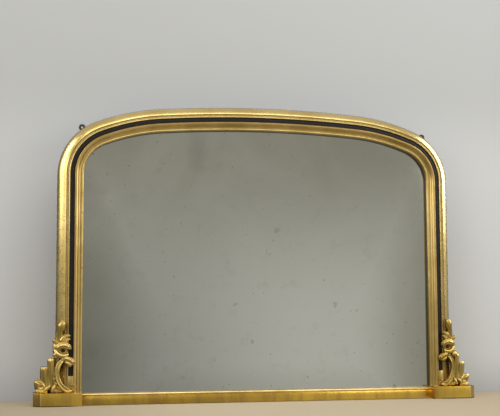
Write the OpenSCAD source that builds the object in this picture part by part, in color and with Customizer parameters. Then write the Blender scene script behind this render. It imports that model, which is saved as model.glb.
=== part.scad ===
// Overmantel mirror: a gilt arched frame with an ebonised slip, an aged mirror plate,
// plinth blocks with carved corner scrolls, and a pine carcass with backboards behind.
// The front faces -Y, the arch rises along +Z, and the origin is under the middle of the base.
// Across a moulding, u runs outwards from the arch line and f runs forwards from it.

/* [Arch] */
// Half width of the arch line, the outer edge of the ebonised slip
arch_hw = 640; // [600:1:680]
// Height at which the upright stiles turn into the shoulders
spring_z = 752; // [640:1:860]
// Radius of the tight shoulder at the arch line
shoulder_r = 155; // [148:1:162]
// Angle that the tight shoulder turns through
shoulder_turn = 68; // [67:0.1:69]
// Radius of the haunch between the shoulder and the crown
haunch_r = 692; // [640:1:760]
// Angle at which the haunch gives way to the crown
haunch_turn = 85.4; // [85:0.1:85.8]

/* [Outer moulding] */
// Width of the outer gilt moulding, outwards from the slip
outer_w = 40.4; // [38:0.1:48]
// Width of the small bead beside the slip
outer_bead_w = 4.2; // [3:0.1:5]
// Width of the hollow beside that bead
cove_w = 8.3; // [6:0.1:10]
// Depth of that hollow
cove_depth = 3.2; // [2:0.1:3.8]
// Height of the small quirks that set the round off
quirk_h = 0.5; // [0.3:0.1:0.6]
// Distance that the big round falls back towards the wall
round_fall = 54; // [48:0.5:56]
// How far the big round swells out from a straight slope
round_swell = 9.5; // [7:0.1:10]

/* [Ebonised slip] */
// Width of the slip channel
slip_w = 15.7; // [12:0.1:19]
// Depth of the slip's edges behind the bead
slip_recess = 6; // [4:0.1:9]
// Rise of the slip's rounded face
slip_rise = 1; // [0.5:0.1:1.5]
// Height above the plinth block at which the slip ends
slip_end = 53; // [40:1:70]

/* [Sight moulding] */
// Width of the inner gilt moulding
sight_w = 27.8; // [25:0.1:32]
// How far its high lip stands in front of the outer bead
sight_lip = 3; // [1:0.1:5]
// Width of the flat on top of that lip
sight_flat = 3; // [2:0.1:4]
// Drop from the lip to the foot of the hollow
sight_drop = 12; // [10:0.1:14]
// Radius of the bead at the sight edge
sight_bead_r = 4; // [3:0.1:4.5]

/* [Carcass] */
// Depth from the arch line's bead to the back of the frame
back_depth = 62; // [60:0.5:72]
// Thickness of the pine carcass
carcass_t = 28; // [24:0.5:30]
// How far the carcass reaches outwards from the arch line
carcass_out = 30; // [26:0.5:32]
// How far the carcass reaches inwards from the arch line
carcass_in = 31; // [29:0.5:33]
// Height of the cross rail under the mirror plate
cross_rail_h = 27; // [22:0.5:30]
// Length of the tenons on the cross rail
tenon_len = 30; // [20:1:40]
// Width, thickness and length of the tongues that join the carcass
tongue = [24, 4, 30]; // [2:1:40]
// Gap left around joints and between curved faces
fit_gap = 0.15; // [0.1:0.05:0.3]

/* [Mirror plate] */
// Thickness of the mirror plate
plate_t = 4; // [3:0.5:5]
// How far the plate reaches behind the sight moulding
plate_lap = 10; // [7:0.5:10.5]
// Thickness of the sight moulding's lip in front of the plate, at its bead
plate_seat = 16; // [13:0.5:18]
// Length of each glazing block
glazing_len = 40; // [25:1:60]
// Leg of each glazing block across the plate and along the carcass
glazing_leg = 12; // [8:0.5:13]
// Height of the setting blocks under the plate
setting_h = 1; // [0.5:0.1:2]

/* [Backboards] */
// Thickness of the backboards
board_t = 6.5; // [5:0.5:7]
// Depth of the rebate that holds the backboards
board_rebate = 8; // [7.5:0.5:9]
// Width of that rebate
board_ledge = 15; // [12:0.5:16]
// Gap between and around the backboards
board_gap = 1; // [0.6:0.1:1.5]
// Radius of the nails that hold the backboards
nail_r = 0.9; // [0.7:0.1:1.1]
// Length of the nails below their heads
nail_len = 18; // [14:0.5:22]

/* [Base] */
// Width of each plinth block
block_w = 153.5; // [140:0.5:170]
// Height of each plinth block
block_h = 42; // [36:0.5:50]
// How far the plinth blocks stand in front of the arch line's bead
block_front = 30; // [27:0.5:36]
// Size of the canted front corner on each plinth block
block_cant = 22; // [15:0.5:35]
// Height of the gilt bottom rail's top
rail_top = 38; // [33:0.5:40]
// Gap under the bottom rail
rail_lift = 1.5; // [0.5:0.1:3]
// How far the bottom rail stands in front of the arch line's bead
rail_front = 3; // [0:0.5:8]
// Radius of the bead along the bottom rail
rail_bead_r = 4; // [3:0.1:5]

/* [Hangers] */
// Angle around the shoulder at which each hanger sits
hanger_angle = 55; // [40:1:56]
// Distance of the hanger's eye beyond the outer moulding
hanger_out = 6.4; // [6:0.1:12]
// Outer radius of the hanger's eye
eye_r = 11; // [9.5:0.1:12]
// Radius of the hole in the eye
eye_hole_r = 3.5; // [2.5:0.1:4.5]
// Thickness of the hanger plate
hanger_t = 2.5; // [2:0.1:3]
// Width of the hanger's shank
shank_w = 16; // [14:0.5:18]
// Radius of the hanger screws' shanks
screw_r = 1.7; // [1.5:0.1:2]
// Length of the hanger screws
screw_len = 18; // [12:0.5:22]

/* [Carving] */
// Height of each corner carving above its plinth block
carving_h = 231; // [200:1:250]
// Thickness that the carving is cut back to behind its front
carving_back = 3.4; // [3.2:0.1:5.2]

/* [Hidden] */
$fn = 128;
eps = 0.01;
// Number of backboards, each a node of its own
board_n = 4;

// Depths, measured forwards from the arch line's bead
back_f = -back_depth;
carcass_f = back_f + carcass_t;
plate_front_f = sight_lip - sight_drop - 1 - plate_seat;
plate_back_f = plate_front_f - plate_t;
board_front_f = back_f + board_rebate;
board_back_f = board_front_f - board_t;

// Places across the mouldings, outwards from the arch line
slip_u = -slip_w;
sight_u = slip_u - sight_w;
plate_u = sight_u + plate_lap;
ledge_u = -carcass_in + board_ledge;
board_u = ledge_u - board_gap;

// Heights
plate_z = rail_top - plate_lap;
setting_z = plate_z - setting_h;
block_in = arch_hw + sight_u;
block_out = block_in + block_w;
cross_z = min(cross_rail_h, setting_z);
board_z = cross_z - board_ledge + board_gap;

// Centres of the arch's three curves, on the right-hand side
shoulder_c = [arch_hw - shoulder_r, spring_z];
haunch_c = shoulder_c + (shoulder_r - haunch_r) * [cos(shoulder_turn), sin(shoulder_turn)];
crown_r = haunch_r + haunch_c.x / cos(haunch_turn);
crown_c = [0, haunch_c.y + (haunch_r - crown_r) * sin(haunch_turn)];

// Radius of an arc from its chord and its rise
function arc_r(chord, rise) = (chord * chord / 4 + rise * rise) / (2 * rise);

// Points along an arc in the plane of the arch
function arc_points(c, r, from, to, n) =
    [for (i = [0:n]) c + r * [cos(from + (to - from) * i / n), sin(from + (to - from) * i / n)]];

// Half the head's outline at an offset u, from an angle on the haunch up to the apex
function head_points(u, from) = concat(
    arc_points(haunch_c, haunch_r + u, from, haunch_turn, 8),
    arc_points(crown_c, crown_r + u, haunch_turn + 0.8, 90, 4));

// Outline of the arch at an offset u, from a height up
function half_arch(u) = concat(
    arc_points(shoulder_c, shoulder_r + u, 0, shoulder_turn, 24),
    head_points(u, shoulder_turn + 1));
function flip(points) =
    [for (i = [len(points) - 1:-1:0]) if (points[i].x > eps) [-points[i].x, points[i].y]];
module arch_area(u, z0) {
    right = concat([[arch_hw + u, z0]], half_arch(u));
    polygon(concat(right, flip(right)));
}

// The arched board between two offsets, sawn off square to the arch where the shoulders begin
function head_line(u) =
    concat(head_points(u, shoulder_turn - 1.5), flip(head_points(u, shoulder_turn - 1.5)));
function reversed(points) = [for (i = [len(points) - 1:-1:0]) points[i]];
module head_area(inner_u, outer_u) {
    saw = haunch_c + 2 * haunch_r * [cos(shoulder_turn), sin(shoulder_turn)];
    intersection() {
        polygon(concat(head_line(outer_u), reversed(head_line(inner_u))));
        polygon([haunch_c, saw, [-saw.x, saw.y], [-haunch_c.x, haunch_c.y]]);
    }
}

// Puts a profile drawn in [u, f] along the right-hand stile
module along_stile(z0, z1) {
    translate([arch_hw, 0, z0]) mirror([0, 1, 0]) linear_extrude(z1 - z0) children();
}

// Turns a profile drawn in [u, f] around one of the arch's centres
module turn(c, r, from, to) {
    translate([c.x, 0, c.y]) rotate([90, 0, 0]) rotate([0, 0, from])
        rotate_extrude(angle = to - from, $fn = 256) translate([r, 0]) children();
}
module along_shoulder() turn(shoulder_c, shoulder_r, 0, shoulder_turn) children();
module along_haunch() turn(haunch_c, haunch_r, shoulder_turn, haunch_turn) children();
module along_crown() turn(crown_c, crown_r, haunch_turn, 180 - haunch_turn) children();

// A local frame on an arc: x runs outwards from the arch line and z along it
module at_arc(c, r, angle) {
    translate([c.x, 0, c.y]) rotate([0, -angle, 0]) translate([r, 0, 0]) children();
}

// Draws a flat shape in [x, z] and gives it a thickness forwards from f
module plate_at(f, t) translate([0, -f, 0]) rotate([90, 0, 0]) linear_extrude(t) children();

// A box from its low and high corners in [x, f, z]
module block_at(low, high) {
    translate([low.x, -high.y, low.z]) cube([high.x - low.x, high.y - low.y, high.z - low.z]);
}

// Both hands of a piece
module left() mirror([1, 0, 0]) children();
module both() {
    children();
    mirror([1, 0, 0]) children();
}

// The frame's mid-depth is at Y = 0
module placed() translate([0, (block_front - back_depth) / 2, 0]) children();

// ---- Profiles, in [u, f] ----

// A round swell on the straight line from a to b, to the left of it
module swell(a, b, rise) {
    chord = norm(b - a);
    r = arc_r(chord, rise);
    normal = [a.y - b.y, b.x - a.x] / chord;
    intersection() {
        translate((a + b) / 2 + normal * (rise - r)) circle(r);
        polygon([a - normal * rise, b - normal * rise, b + normal * rise * 2, a + normal * rise * 2]);
    }
}

module outer_profile() {
    bead_r = outer_bead_w / 2;
    quirk = [outer_bead_w + cove_w, -bead_r - quirk_h];
    in_point = [quirk.x, -bead_r];
    out_point = [outer_w, -round_fall];
    cove_r = arc_r(cove_w - 2 * quirk_h, cove_depth);
    chord = norm(out_point - in_point);
    round_r = arc_r(chord, round_swell);
    normal = [in_point.y - out_point.y, out_point.x - in_point.x] / chord;
    difference() {
        union() {
            translate([bead_r, -bead_r]) circle(bead_r);
            polygon([[fit_gap, -bead_r], [fit_gap, back_f], [outer_w - quirk_h, back_f],
                     [outer_w - quirk_h, 2 - round_fall], [quirk.x + quirk_h / 2, quirk.y],
                     [bead_r, quirk.y]]);
            intersection() {
                translate((in_point + out_point) / 2 - normal * (round_r - round_swell)) circle(round_r);
                translate([in_point.x, -round_fall]) square([outer_w, round_fall]);
            }
        }
        translate([outer_bead_w + cove_w / 2, quirk.y + cove_r - cove_depth]) circle(cove_r);
        translate([-1, back_f - 1]) square([carcass_out + fit_gap + 1, carcass_t + 1]);
    }
}

module slip_profile() {
    w = slip_w - 2 * fit_gap;
    r = arc_r(w, slip_rise);
    top = -slip_recess + slip_rise;
    intersection() {
        translate([slip_u + fit_gap, carcass_f]) square([w, top - carcass_f + 1]);
        translate([slip_u / 2, top - r]) circle(r);
    }
}

module sight_profile() {
    low = sight_lip - sight_drop;
    flat = [slip_u - sight_flat, sight_lip];
    foot = [sight_u + 2 * sight_bead_r + 1, low];
    bead = [sight_u + sight_bead_r, low - 1];
    half = (flat + foot) / 2;
    bend = 2 * atan2(sight_drop, flat.x - foot.x);
    ogee_rise = norm(flat - half) / 2 * tan(bend / 4);
    difference() {
        union() {
            polygon([[slip_u, carcass_f], [slip_u, sight_lip], flat, foot, [foot.x - 1, low],
                     [foot.x - 1, bead.y], [sight_u, bead.y], [sight_u, plate_front_f],
                     [-carcass_in, plate_front_f], [-carcass_in, carcass_f]]);
            translate(bead) circle(sight_bead_r);
            swell(half, flat, ogee_rise);
        }
        swell(half, foot, ogee_rise);
    }
}

module carcass_profile() {
    difference() {
        translate([-carcass_in, back_f]) square([carcass_in + carcass_out, carcass_t]);
        translate([-carcass_in - 1, back_f - 1]) square([board_ledge + 1, board_rebate + 1]);
    }
}

// ---- Pine carcass ----

// A tongue across a joint between two lengths of the carcass
module tongue_at(c, r, angle, grow = 0) {
    at_arc(c, r, angle) translate([(carcass_out - carcass_in) / 2, -(carcass_f + back_f) / 2, 0])
        cube([tongue.x + 2 * grow, tongue.y + 2 * grow, tongue.z + 2 * grow], center = true);
}
module stile_tongue(grow = 0) tongue_at(shoulder_c, shoulder_r, 0, grow);
module head_tongue(grow = 0) tongue_at(shoulder_c, shoulder_r, shoulder_turn, grow);

// The tenon at the right-hand end of the cross rail
module tenon(grow = 0) {
    inside = arch_hw - carcass_in;
    third = carcass_t / 3;
    block_at([inside - eps, carcass_f - 2 * third - grow, cross_z / 4 - grow],
             [inside + tenon_len + grow, carcass_f - third + grow, 3 * cross_z / 4 + grow]);
}

module stile_core() {
    color("burlywood") placed() difference() {
        along_stile(0, spring_z) carcass_profile();
        stile_tongue(fit_gap);
        tenon(fit_gap);
        block_screw_holes();
        stile_nail_holes();
    }
}
module shoulder_core() {
    color("burlywood") placed() difference() {
        along_shoulder() carcass_profile();
        stile_tongue(fit_gap);
        head_tongue(fit_gap);
        hanger_recess();
        hanger_screw_holes();
        shoulder_nail_holes();
    }
}
module head_core() {
    color("burlywood") placed() difference() {
        plate_at(back_f, carcass_t) head_area(-carcass_in, carcass_out);
        plate_at(back_f - 1, board_rebate + 1) head_area(-carcass_in - 10, ledge_u);
        both() head_tongue(fit_gap);
        head_nail_holes();
    }
}
module cross_rail() {
    inside = arch_hw - carcass_in;
    color("burlywood") placed() difference() {
        union() {
            block_at([-inside, back_f, 0], [inside, carcass_f, cross_z]);
            both() tenon();
        }
        block_at([-inside - 1, back_f - 1, cross_z - board_ledge],
                 [inside + 1, board_front_f, cross_z + 1]);
        rail_nail_holes();
    }
}
module carcass_tongues() {
    color("peru") placed() both() {
        stile_tongue();
        head_tongue();
    }
}

// ---- Gilt outer moulding, ebonised slip and sight moulding ----

module outer_stile() color("goldenrod") placed() along_stile(block_h, spring_z) outer_profile();
module outer_shoulder() {
    color("goldenrod") placed() difference() {
        along_shoulder() outer_profile();
        hanger_recess();
    }
}
module outer_haunch() color("goldenrod") placed() along_haunch() outer_profile();
module outer_crown() color("goldenrod") placed() along_crown() outer_profile();

module slip_stile() {
    color("#2b2620") placed() along_stile(block_h + slip_end, spring_z) slip_profile();
}
module slip_shoulder() color("#2b2620") placed() along_shoulder() slip_profile();
module slip_haunch() color("#2b2620") placed() along_haunch() slip_profile();
module slip_crown() color("#2b2620") placed() along_crown() slip_profile();

module sight_stile() color("gold") placed() along_stile(block_h, spring_z) sight_profile();
module sight_shoulder() color("gold") placed() along_shoulder() sight_profile();
module sight_haunch() color("gold") placed() along_haunch() sight_profile();
module sight_crown() color("gold") placed() along_crown() sight_profile();

// Plain gilt block that fills the slip's channel at the foot of a stile
module stile_foot() {
    color("goldenrod") placed()
        block_at([arch_hw + slip_u + fit_gap, carcass_f, block_h],
                 [arch_hw - fit_gap, sight_lip, block_h + slip_end]);
}

// ---- Base ----

module plinth_block() {
    inside = arch_hw - carcass_in;
    color("goldenrod") placed() difference() {
        block_at([block_in, back_f, 0], [block_out, block_front, block_h]);
        translate([block_out, -block_front, -1]) rotate([0, 0, 45])
            cube([block_cant * sqrt(2), block_cant * sqrt(2), 2 * block_h + 4], center = true);
        block_at([block_in - 1, back_f - 1, -1],
                 [arch_hw + carcass_out + fit_gap, carcass_f, block_h + 1]);
        block_at([block_in - 1, carcass_f - 1, setting_z],
                 [inside + fit_gap, plate_front_f, block_h + 1]);
        block_screw_holes();
    }
}
module bottom_rail() {
    r = rail_bead_r;
    color("goldenrod") placed() difference() {
        block_at([-block_in, carcass_f, rail_lift], [block_in, rail_front, rail_top]);
        block_at([-block_in - 1, carcass_f - 1, setting_z],
                 [block_in + 1, plate_front_f, rail_top + 1]);
        block_at([-block_in - 1, rail_front - 2 * r, rail_top - 2 * r],
                 [block_in + 1, rail_front + 1, rail_top + 1]);
    }
}
module rail_bead() {
    r = rail_bead_r;
    color("gold") placed() translate([-block_in, -rail_front + r, rail_top - r])
        rotate([90, 0, 90]) linear_extrude(2 * block_in) union() {
            circle(r);
            translate([0, -r]) square([r, 2 * r]);
            translate([-eps, -r]) square([r, r]);
        }
}

// Screws through each stile into its plinth block
block_screw_len = carcass_t + 22;
function block_screw_xs() = [arch_hw - 8, arch_hw + carcass_out - 12];
module at_block_screws() for (x = block_screw_xs()) translate([x, -back_f, 0.82 * block_h]) children();
module screw(r, len, head_r, grow = 0) {
    rotate([90, 0, 0]) union() {
        translate([0, 0, -grow]) cylinder(r = r + grow, h = len + 2 * grow, $fn = 32);
        translate([0, 0, -grow]) cylinder(r1 = head_r + grow, r2 = r + grow, h = head_r, $fn = 32);
    }
}
module block_screw_holes() at_block_screws() screw(2.2, block_screw_len, 4.2, fit_gap);
module block_screws() {
    color("dimgray") placed() both() at_block_screws() difference() {
        screw(2.2, block_screw_len, 4.2);
        cube([9, 2, 1], center = true);
    }
}

// ---- Mirror plate and what holds it ----

module mirror_plate() {
    color("lightslategray") placed() plate_at(plate_back_f, plate_t) arch_area(plate_u, plate_z);
}

// A triangular block in the corner between the plate's back and the carcass
module glazing_block() {
    drop = plate_back_f - carcass_f + glazing_leg;
    translate([-carcass_in - fit_gap, -plate_back_f, -glazing_len / 2]) linear_extrude(glazing_len)
        polygon([[0, 0], [-glazing_leg, 0], [0, drop]]);
}
module rail_glazing_block() {
    drop = plate_back_f - carcass_f + glazing_leg;
    translate([-glazing_len / 2, -plate_back_f, cross_z + fit_gap]) rotate([90, 0, 90])
        linear_extrude(glazing_len) polygon([[0, 0], [0, glazing_leg], [drop, 0]]);
}
module glazing_blocks() {
    color("tan") placed() {
        both() for (t = [0.2, 0.5, 0.8]) translate([arch_hw, 0, t * spring_z]) glazing_block();
        at_arc(crown_c, crown_r, 90) glazing_block();
        both() at_arc(haunch_c, haunch_r, (shoulder_turn + haunch_turn) / 2) glazing_block();
        for (t = [-0.6, 0, 0.6]) translate([t * arch_hw, 0, 0]) rail_glazing_block();
    }
}
module setting_blocks() {
    color("saddlebrown") placed() both()
        block_at([block_in / 2, plate_back_f, setting_z], [block_in / 2 + 30, plate_front_f, plate_z]);
}

// ---- Backboards ----

board_top = crown_c.y + crown_r + board_u;
board_h = (board_top - board_z) / board_n;
module backboard(i) {
    low = board_z + i * board_h;
    color("burlywood") placed() difference() {
        plate_at(board_back_f, board_t) intersection() {
            arch_area(board_u, board_z);
            translate([-arch_hw, low])
                square([2 * arch_hw, board_h - (i < board_n - 1 ? board_gap : 0)]);
        }
        nail_holes();
    }
}

// Nail places: x runs across the frame's edge and the nails go in from the back
nail_u = (board_u - carcass_in) / 2;
nail_f = board_back_f;
module stile_nail_places() {
    for (i = [0:board_n - 1], t = [0.25, 0.75]) {
        z = board_z + (i + t) * board_h;
        if (z < spring_z - 30) translate([arch_hw + nail_u, -nail_f, z]) children();
    }
}
module shoulder_nail_places() {
    for (angle = [12, 34, 60])
        at_arc(shoulder_c, shoulder_r, angle) translate([nail_u, -nail_f, 0]) children();
}
module head_nail_places() {
    both() at_arc(haunch_c, haunch_r, (shoulder_turn + haunch_turn) / 2 - 3.4)
        translate([nail_u, -nail_f, 0]) children();
    both() at_arc(crown_c, crown_r, haunch_turn + 0.5) translate([nail_u, -nail_f, 0]) children();
}
module rail_nail_places() {
    for (t = [-0.8, -0.4, 0, 0.4, 0.8])
        translate([t * arch_hw, -nail_f, cross_z - board_ledge / 2 + board_gap / 2]) children();
}
module nail(grow = 0) {
    rotate([90, 0, 0]) translate([0, 0, -eps])
        cylinder(r = nail_r + grow, h = nail_len + grow, $fn = 24);
}
module nail_head() rotate([90, 0, 0]) translate([0, 0, -0.8]) cylinder(r = 2.4 * nail_r, h = 0.8, $fn = 24);
module stile_nail_holes() stile_nail_places() nail(fit_gap);
module shoulder_nail_holes() shoulder_nail_places() nail(fit_gap);
module head_nail_holes() head_nail_places() nail(fit_gap);
module rail_nail_holes() rail_nail_places() nail(fit_gap);
module nail_holes() {
    both() stile_nail_holes();
    both() shoulder_nail_holes();
    head_nail_holes();
    rail_nail_holes();
}
module whole_nail() {
    nail();
    nail_head();
}
module backboard_nails() {
    color("dimgray") placed() {
        both() stile_nail_places() whole_nail();
        both() shoulder_nail_places() whole_nail();
        head_nail_places() whole_nail();
        rail_nail_places() whole_nail();
    }
}

// ---- Hangers ----

eye_u = outer_w + hanger_out;
hanger_screw_us = [carcass_out - 12, carcass_out - 27];
shank_end_u = carcass_out - 34;
module hanger_shape(grow = 0) {
    translate([eye_u, 0]) circle(eye_r + grow);
    translate([shank_end_u, 0]) circle(shank_w / 2 + grow);
    translate([shank_end_u, -shank_w / 2 - grow]) square([eye_u - shank_end_u, shank_w + 2 * grow]);
}
module at_hanger() at_arc(shoulder_c, shoulder_r, hanger_angle) children();
module hanger_recess() at_hanger() plate_at(back_f - 1, hanger_t + 1) hanger_shape(fit_gap);
module at_hanger_screws() at_hanger() for (u = hanger_screw_us) translate([u, -back_f, 0]) children();
module hanger_screw_holes() at_hanger_screws() screw(screw_r, screw_len, 2.2 * screw_r, fit_gap);
module hanger() {
    color("#3a342c") placed() difference() {
        at_hanger() plate_at(back_f, hanger_t) hanger_shape();
        at_hanger() translate([eye_u, -back_f + 1, 0]) rotate([90, 0, 0])
            cylinder(r = eye_hole_r, h = hanger_t + 2, $fn = 64);
        hanger_screw_holes();
    }
}
module hanger_screws() {
    color("dimgray") placed() both() at_hanger_screws() difference() {
        screw(screw_r, screw_len, 2.2 * screw_r);
        cube([10, 1.6, 0.9], center = true);
    }
}

// ---- Corner carvings ----
// Drawn beside the stile's foot: x outwards from the arch line, z up from the plinth block,
// f forwards. Each point is [x, z, f, r], a place on the stroke and its radius there.

carving_k = carving_h / 240;
bud_z = 120;
crest_z = 166;
leaf_x = outer_w + 2;
module carved(low, high) {
    color("gold") placed() translate([arch_hw, 0, block_h]) intersection() {
        block_at(low, high);
        scale([1, 1, carving_k]) children();
    }
}
module dab(p, flat) translate([p.x, -p.z, p.y]) scale([1, flat, 1]) sphere(p[3], $fn = 16);
module stroke(points, flat = 1) {
    for (i = [0:len(points) - 2]) hull() {
        dab(points[i], flat);
        dab(points[i + 1], flat);
    }
}

// C scroll with its inner volute above and its foot volute on the plinth block
module scroll() {
    carved([slip_u - 20, carving_back, 0.2], [leaf_x - 0.2, block_front, bud_z * carving_k - 0.2]) {
        stroke([[24, 112, 13, 10], [32, 97, 13, 8.5], [39, 80, 13, 7.5], [41, 62, 12, 7], [38, 43, 12, 7],
                [30, 26, 13, 7.5], [17, 12, 13, 8.5], [3, 7, 12, 8]]);
        stroke([[24, 112, 13, 10], [10, 114, 14, 11], [0, 107, 14, 13], [-2, 102, 14, 14]]);
        stroke([[3, 7, 12, 8], [-6, 11, 12, 6]]);
    }
}

// Bulging acanthus bud that curls round a deep eye, fuller above it than below
module bud() {
    carved([slip_u - 8, carving_back, bud_z * carving_k], [70, block_front, crest_z * carving_k - 0.2]) {
        eye = [17, 142];
        stroke([for (i = [0:9])
            [eye.x + 17 * cos(40 * i), eye.y + 15 * sin(40 * i), 12, 10.5 + 3 * sin(40 * i)]]);
        stroke([[22, 118, 12, 13], [36, 130, 11, 12], [40, 146, 10, 11], [34, 160, 10, 12]]);
    }
}

// Flame-like leaf with a curled tip, a side tip towards the mirror and a horn on the outside
module crest_leaf() {
    carved([slip_u - 8, carving_back, crest_z * carving_k], [70, block_front, 262 * carving_k]) {
        stroke([[20, 164, 9, 16], [25, 180, 9, 13], [28, 196, 9, 11.5], [26, 212, 11, 11],
                [21, 225, 15, 11], [14, 232, 18, 7]]);
        stroke([[14, 168, 9, 12], [8, 180, 11, 8], [1, 187, 15, 5], [-3, 188, 18, 3.5]]);
        stroke([[32, 166, 9, 12], [42, 173, 10, 8], [50, 179, 13, 4.5]]);
    }
}

// Leafage in three curling steps over the plinth block, outside the scroll
module leafage() {
    carved([leaf_x, -24, 0.2], [block_out - arch_hw - 0.5, block_front, bud_z * carving_k - 0.2]) {
        stroke([[46, 16, 0, 14], [47, 50, 1, 13], [48, 84, 3, 12], [50, 104, 9, 12]], 1.2);
        stroke([[50, 20, 0, 14], [58, 48, 1, 16], [70, 64, 3, 14], [80, 74, 8, 10]], 1.2);
        stroke([[54, 16, 0, 15], [74, 26, 1, 18], [90, 30, 4, 15], [99, 27, 9, 10]], 1.2);
        stroke([[58, 6, 14, 7], [76, 9, 16, 8], [90, 8, 13, 6]], 1.2);
    }
}

// Small leaf rosette on the plain foot of the stile
module foot_leaf() {
    carved([slip_u - 9, carving_back, 1], [-fit_gap, block_front, 50]) {
        heart = [slip_u + 2, 24, carving_back];
        dab([heart.x, heart.y, heart.z + 1, 4], 1);
        for (i = [0:7]) hull() {
            dab([heart.x, heart.y, heart.z, 3], 1);
            dab([heart.x + 6 * cos(45 * i), heart.y + 9 * sin(45 * i), heart.z + 1.5, 2.4], 1);
        }
    }
}

left() stile_core();  // left_stile_core
stile_core();  // right_stile_core
left() shoulder_core();  // left_shoulder_core
shoulder_core();  // right_shoulder_core
head_core();
cross_rail();
carcass_tongues();
left() outer_stile();  // left_outer_stile
outer_stile();  // right_outer_stile
left() outer_shoulder();  // left_outer_shoulder
outer_shoulder();  // right_outer_shoulder
left() outer_haunch();  // left_outer_haunch
outer_haunch();  // right_outer_haunch
outer_crown();
left() slip_stile();  // left_slip_stile
slip_stile();  // right_slip_stile
left() slip_shoulder();  // left_slip_shoulder
slip_shoulder();  // right_slip_shoulder
left() slip_haunch();  // left_slip_haunch
slip_haunch();  // right_slip_haunch
slip_crown();
left() sight_stile();  // left_sight_stile
sight_stile();  // right_sight_stile
left() sight_shoulder();  // left_sight_shoulder
sight_shoulder();  // right_sight_shoulder
left() sight_haunch();  // left_sight_haunch
sight_haunch();  // right_sight_haunch
sight_crown();
left() stile_foot();  // left_stile_foot
stile_foot();  // right_stile_foot
left() plinth_block();  // left_plinth_block
plinth_block();  // right_plinth_block
bottom_rail();
rail_bead();
block_screws();
mirror_plate();
glazing_blocks();
setting_blocks();
backboard(0);  // backboard_1
backboard(1);  // backboard_2
backboard(2);  // backboard_3
backboard(3);  // backboard_4
backboard_nails();
left() hanger();  // left_hanger
hanger();  // right_hanger
hanger_screws();
left() scroll();  // left_scroll
scroll();  // right_scroll
left() bud();  // left_bud
bud();  // right_bud
left() crest_leaf();  // left_crest_leaf
crest_leaf();  // right_crest_leaf
left() leafage();  // left_leafage
leafage();  // right_leafage
left() foot_leaf();  // left_foot_leaf
foot_leaf();  // right_foot_leaf
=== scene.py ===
import contextlib
import math

import bmesh
import bpy
import numpy as np
from bpy.props import FloatProperty, FloatVectorProperty, IntProperty, PointerProperty
from mathutils import Matrix, Vector, noise


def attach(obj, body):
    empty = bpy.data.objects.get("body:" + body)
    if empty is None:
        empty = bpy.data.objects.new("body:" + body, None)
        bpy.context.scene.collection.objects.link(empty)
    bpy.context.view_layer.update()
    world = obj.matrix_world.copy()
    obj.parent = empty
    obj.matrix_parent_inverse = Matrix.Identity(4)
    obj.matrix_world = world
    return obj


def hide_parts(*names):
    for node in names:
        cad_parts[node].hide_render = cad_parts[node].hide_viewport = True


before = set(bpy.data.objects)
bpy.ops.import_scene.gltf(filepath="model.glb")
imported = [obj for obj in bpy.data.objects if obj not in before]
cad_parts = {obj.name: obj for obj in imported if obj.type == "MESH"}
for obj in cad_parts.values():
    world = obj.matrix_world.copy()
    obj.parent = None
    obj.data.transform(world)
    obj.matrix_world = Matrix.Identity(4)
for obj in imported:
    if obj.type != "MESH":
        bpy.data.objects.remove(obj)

bl_info = {
    "name": "Arched gilt overmantel mirror",
    "version": (1, 0, 0),
    "blender": (4, 5, 0),
    "location": "View3D > Sidebar > Overmantel",
    "description": "Gilding, carving, aged silvering and old pine for an arched overmantel mirror",
    "category": "Object",
}

MM = 0.001
SIDES = (("left", -1), ("right", 1))

# Places on the frame, in metres
ARCH_LINE = 0.640    # x of the arch line on the right stile
BEAD_FRONT = -0.016  # y of the front of the small bead
BLOCK_TOP = 0.042    # z of the plinth blocks' top


# ---- Sizes and colours that a user would change ----

def length(name, text, default):
    return FloatProperty(name=name, description=text, default=default, min=0.0, unit="LENGTH",
                         precision=5)


def turning(name, text, degrees):
    return FloatProperty(name=name, description=text, default=math.radians(degrees),
                         subtype="ANGLE")


def power(name, text, default):
    return FloatProperty(name=name, description=text, default=default, unit="POWER")


def brightness(name, text, default):
    return FloatProperty(name=name, description=text, default=default, min=0.0, max=2.0)


def colour(name, text, default):
    return FloatVectorProperty(name=name, description=text, default=default, size=3, min=0.0,
                               max=1.0, subtype="COLOR")


class ArchSizes(bpy.types.PropertyGroup):
    """The arch line, which is the outer edge of the ebonised slip"""
    half_width: length("Half width", "From the middle of the frame to the arch line", 0.640)
    spring: length("Spring height", "Where the stiles turn into the shoulders", 0.752)
    shoulder: length("Shoulder radius", "Radius of the tight shoulders", 0.155)
    shoulder_turn: turning("Shoulder turn", "Angle that a shoulder turns", 68.0)
    haunch: length("Haunch radius", "Radius between a shoulder and the crown", 0.692)
    haunch_turn: turning("Haunch turn", "Angle where the crown takes over", 85.4)
    step: length("Ring spacing", "Distance between the rings of a swept moulding", 0.006)


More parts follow.
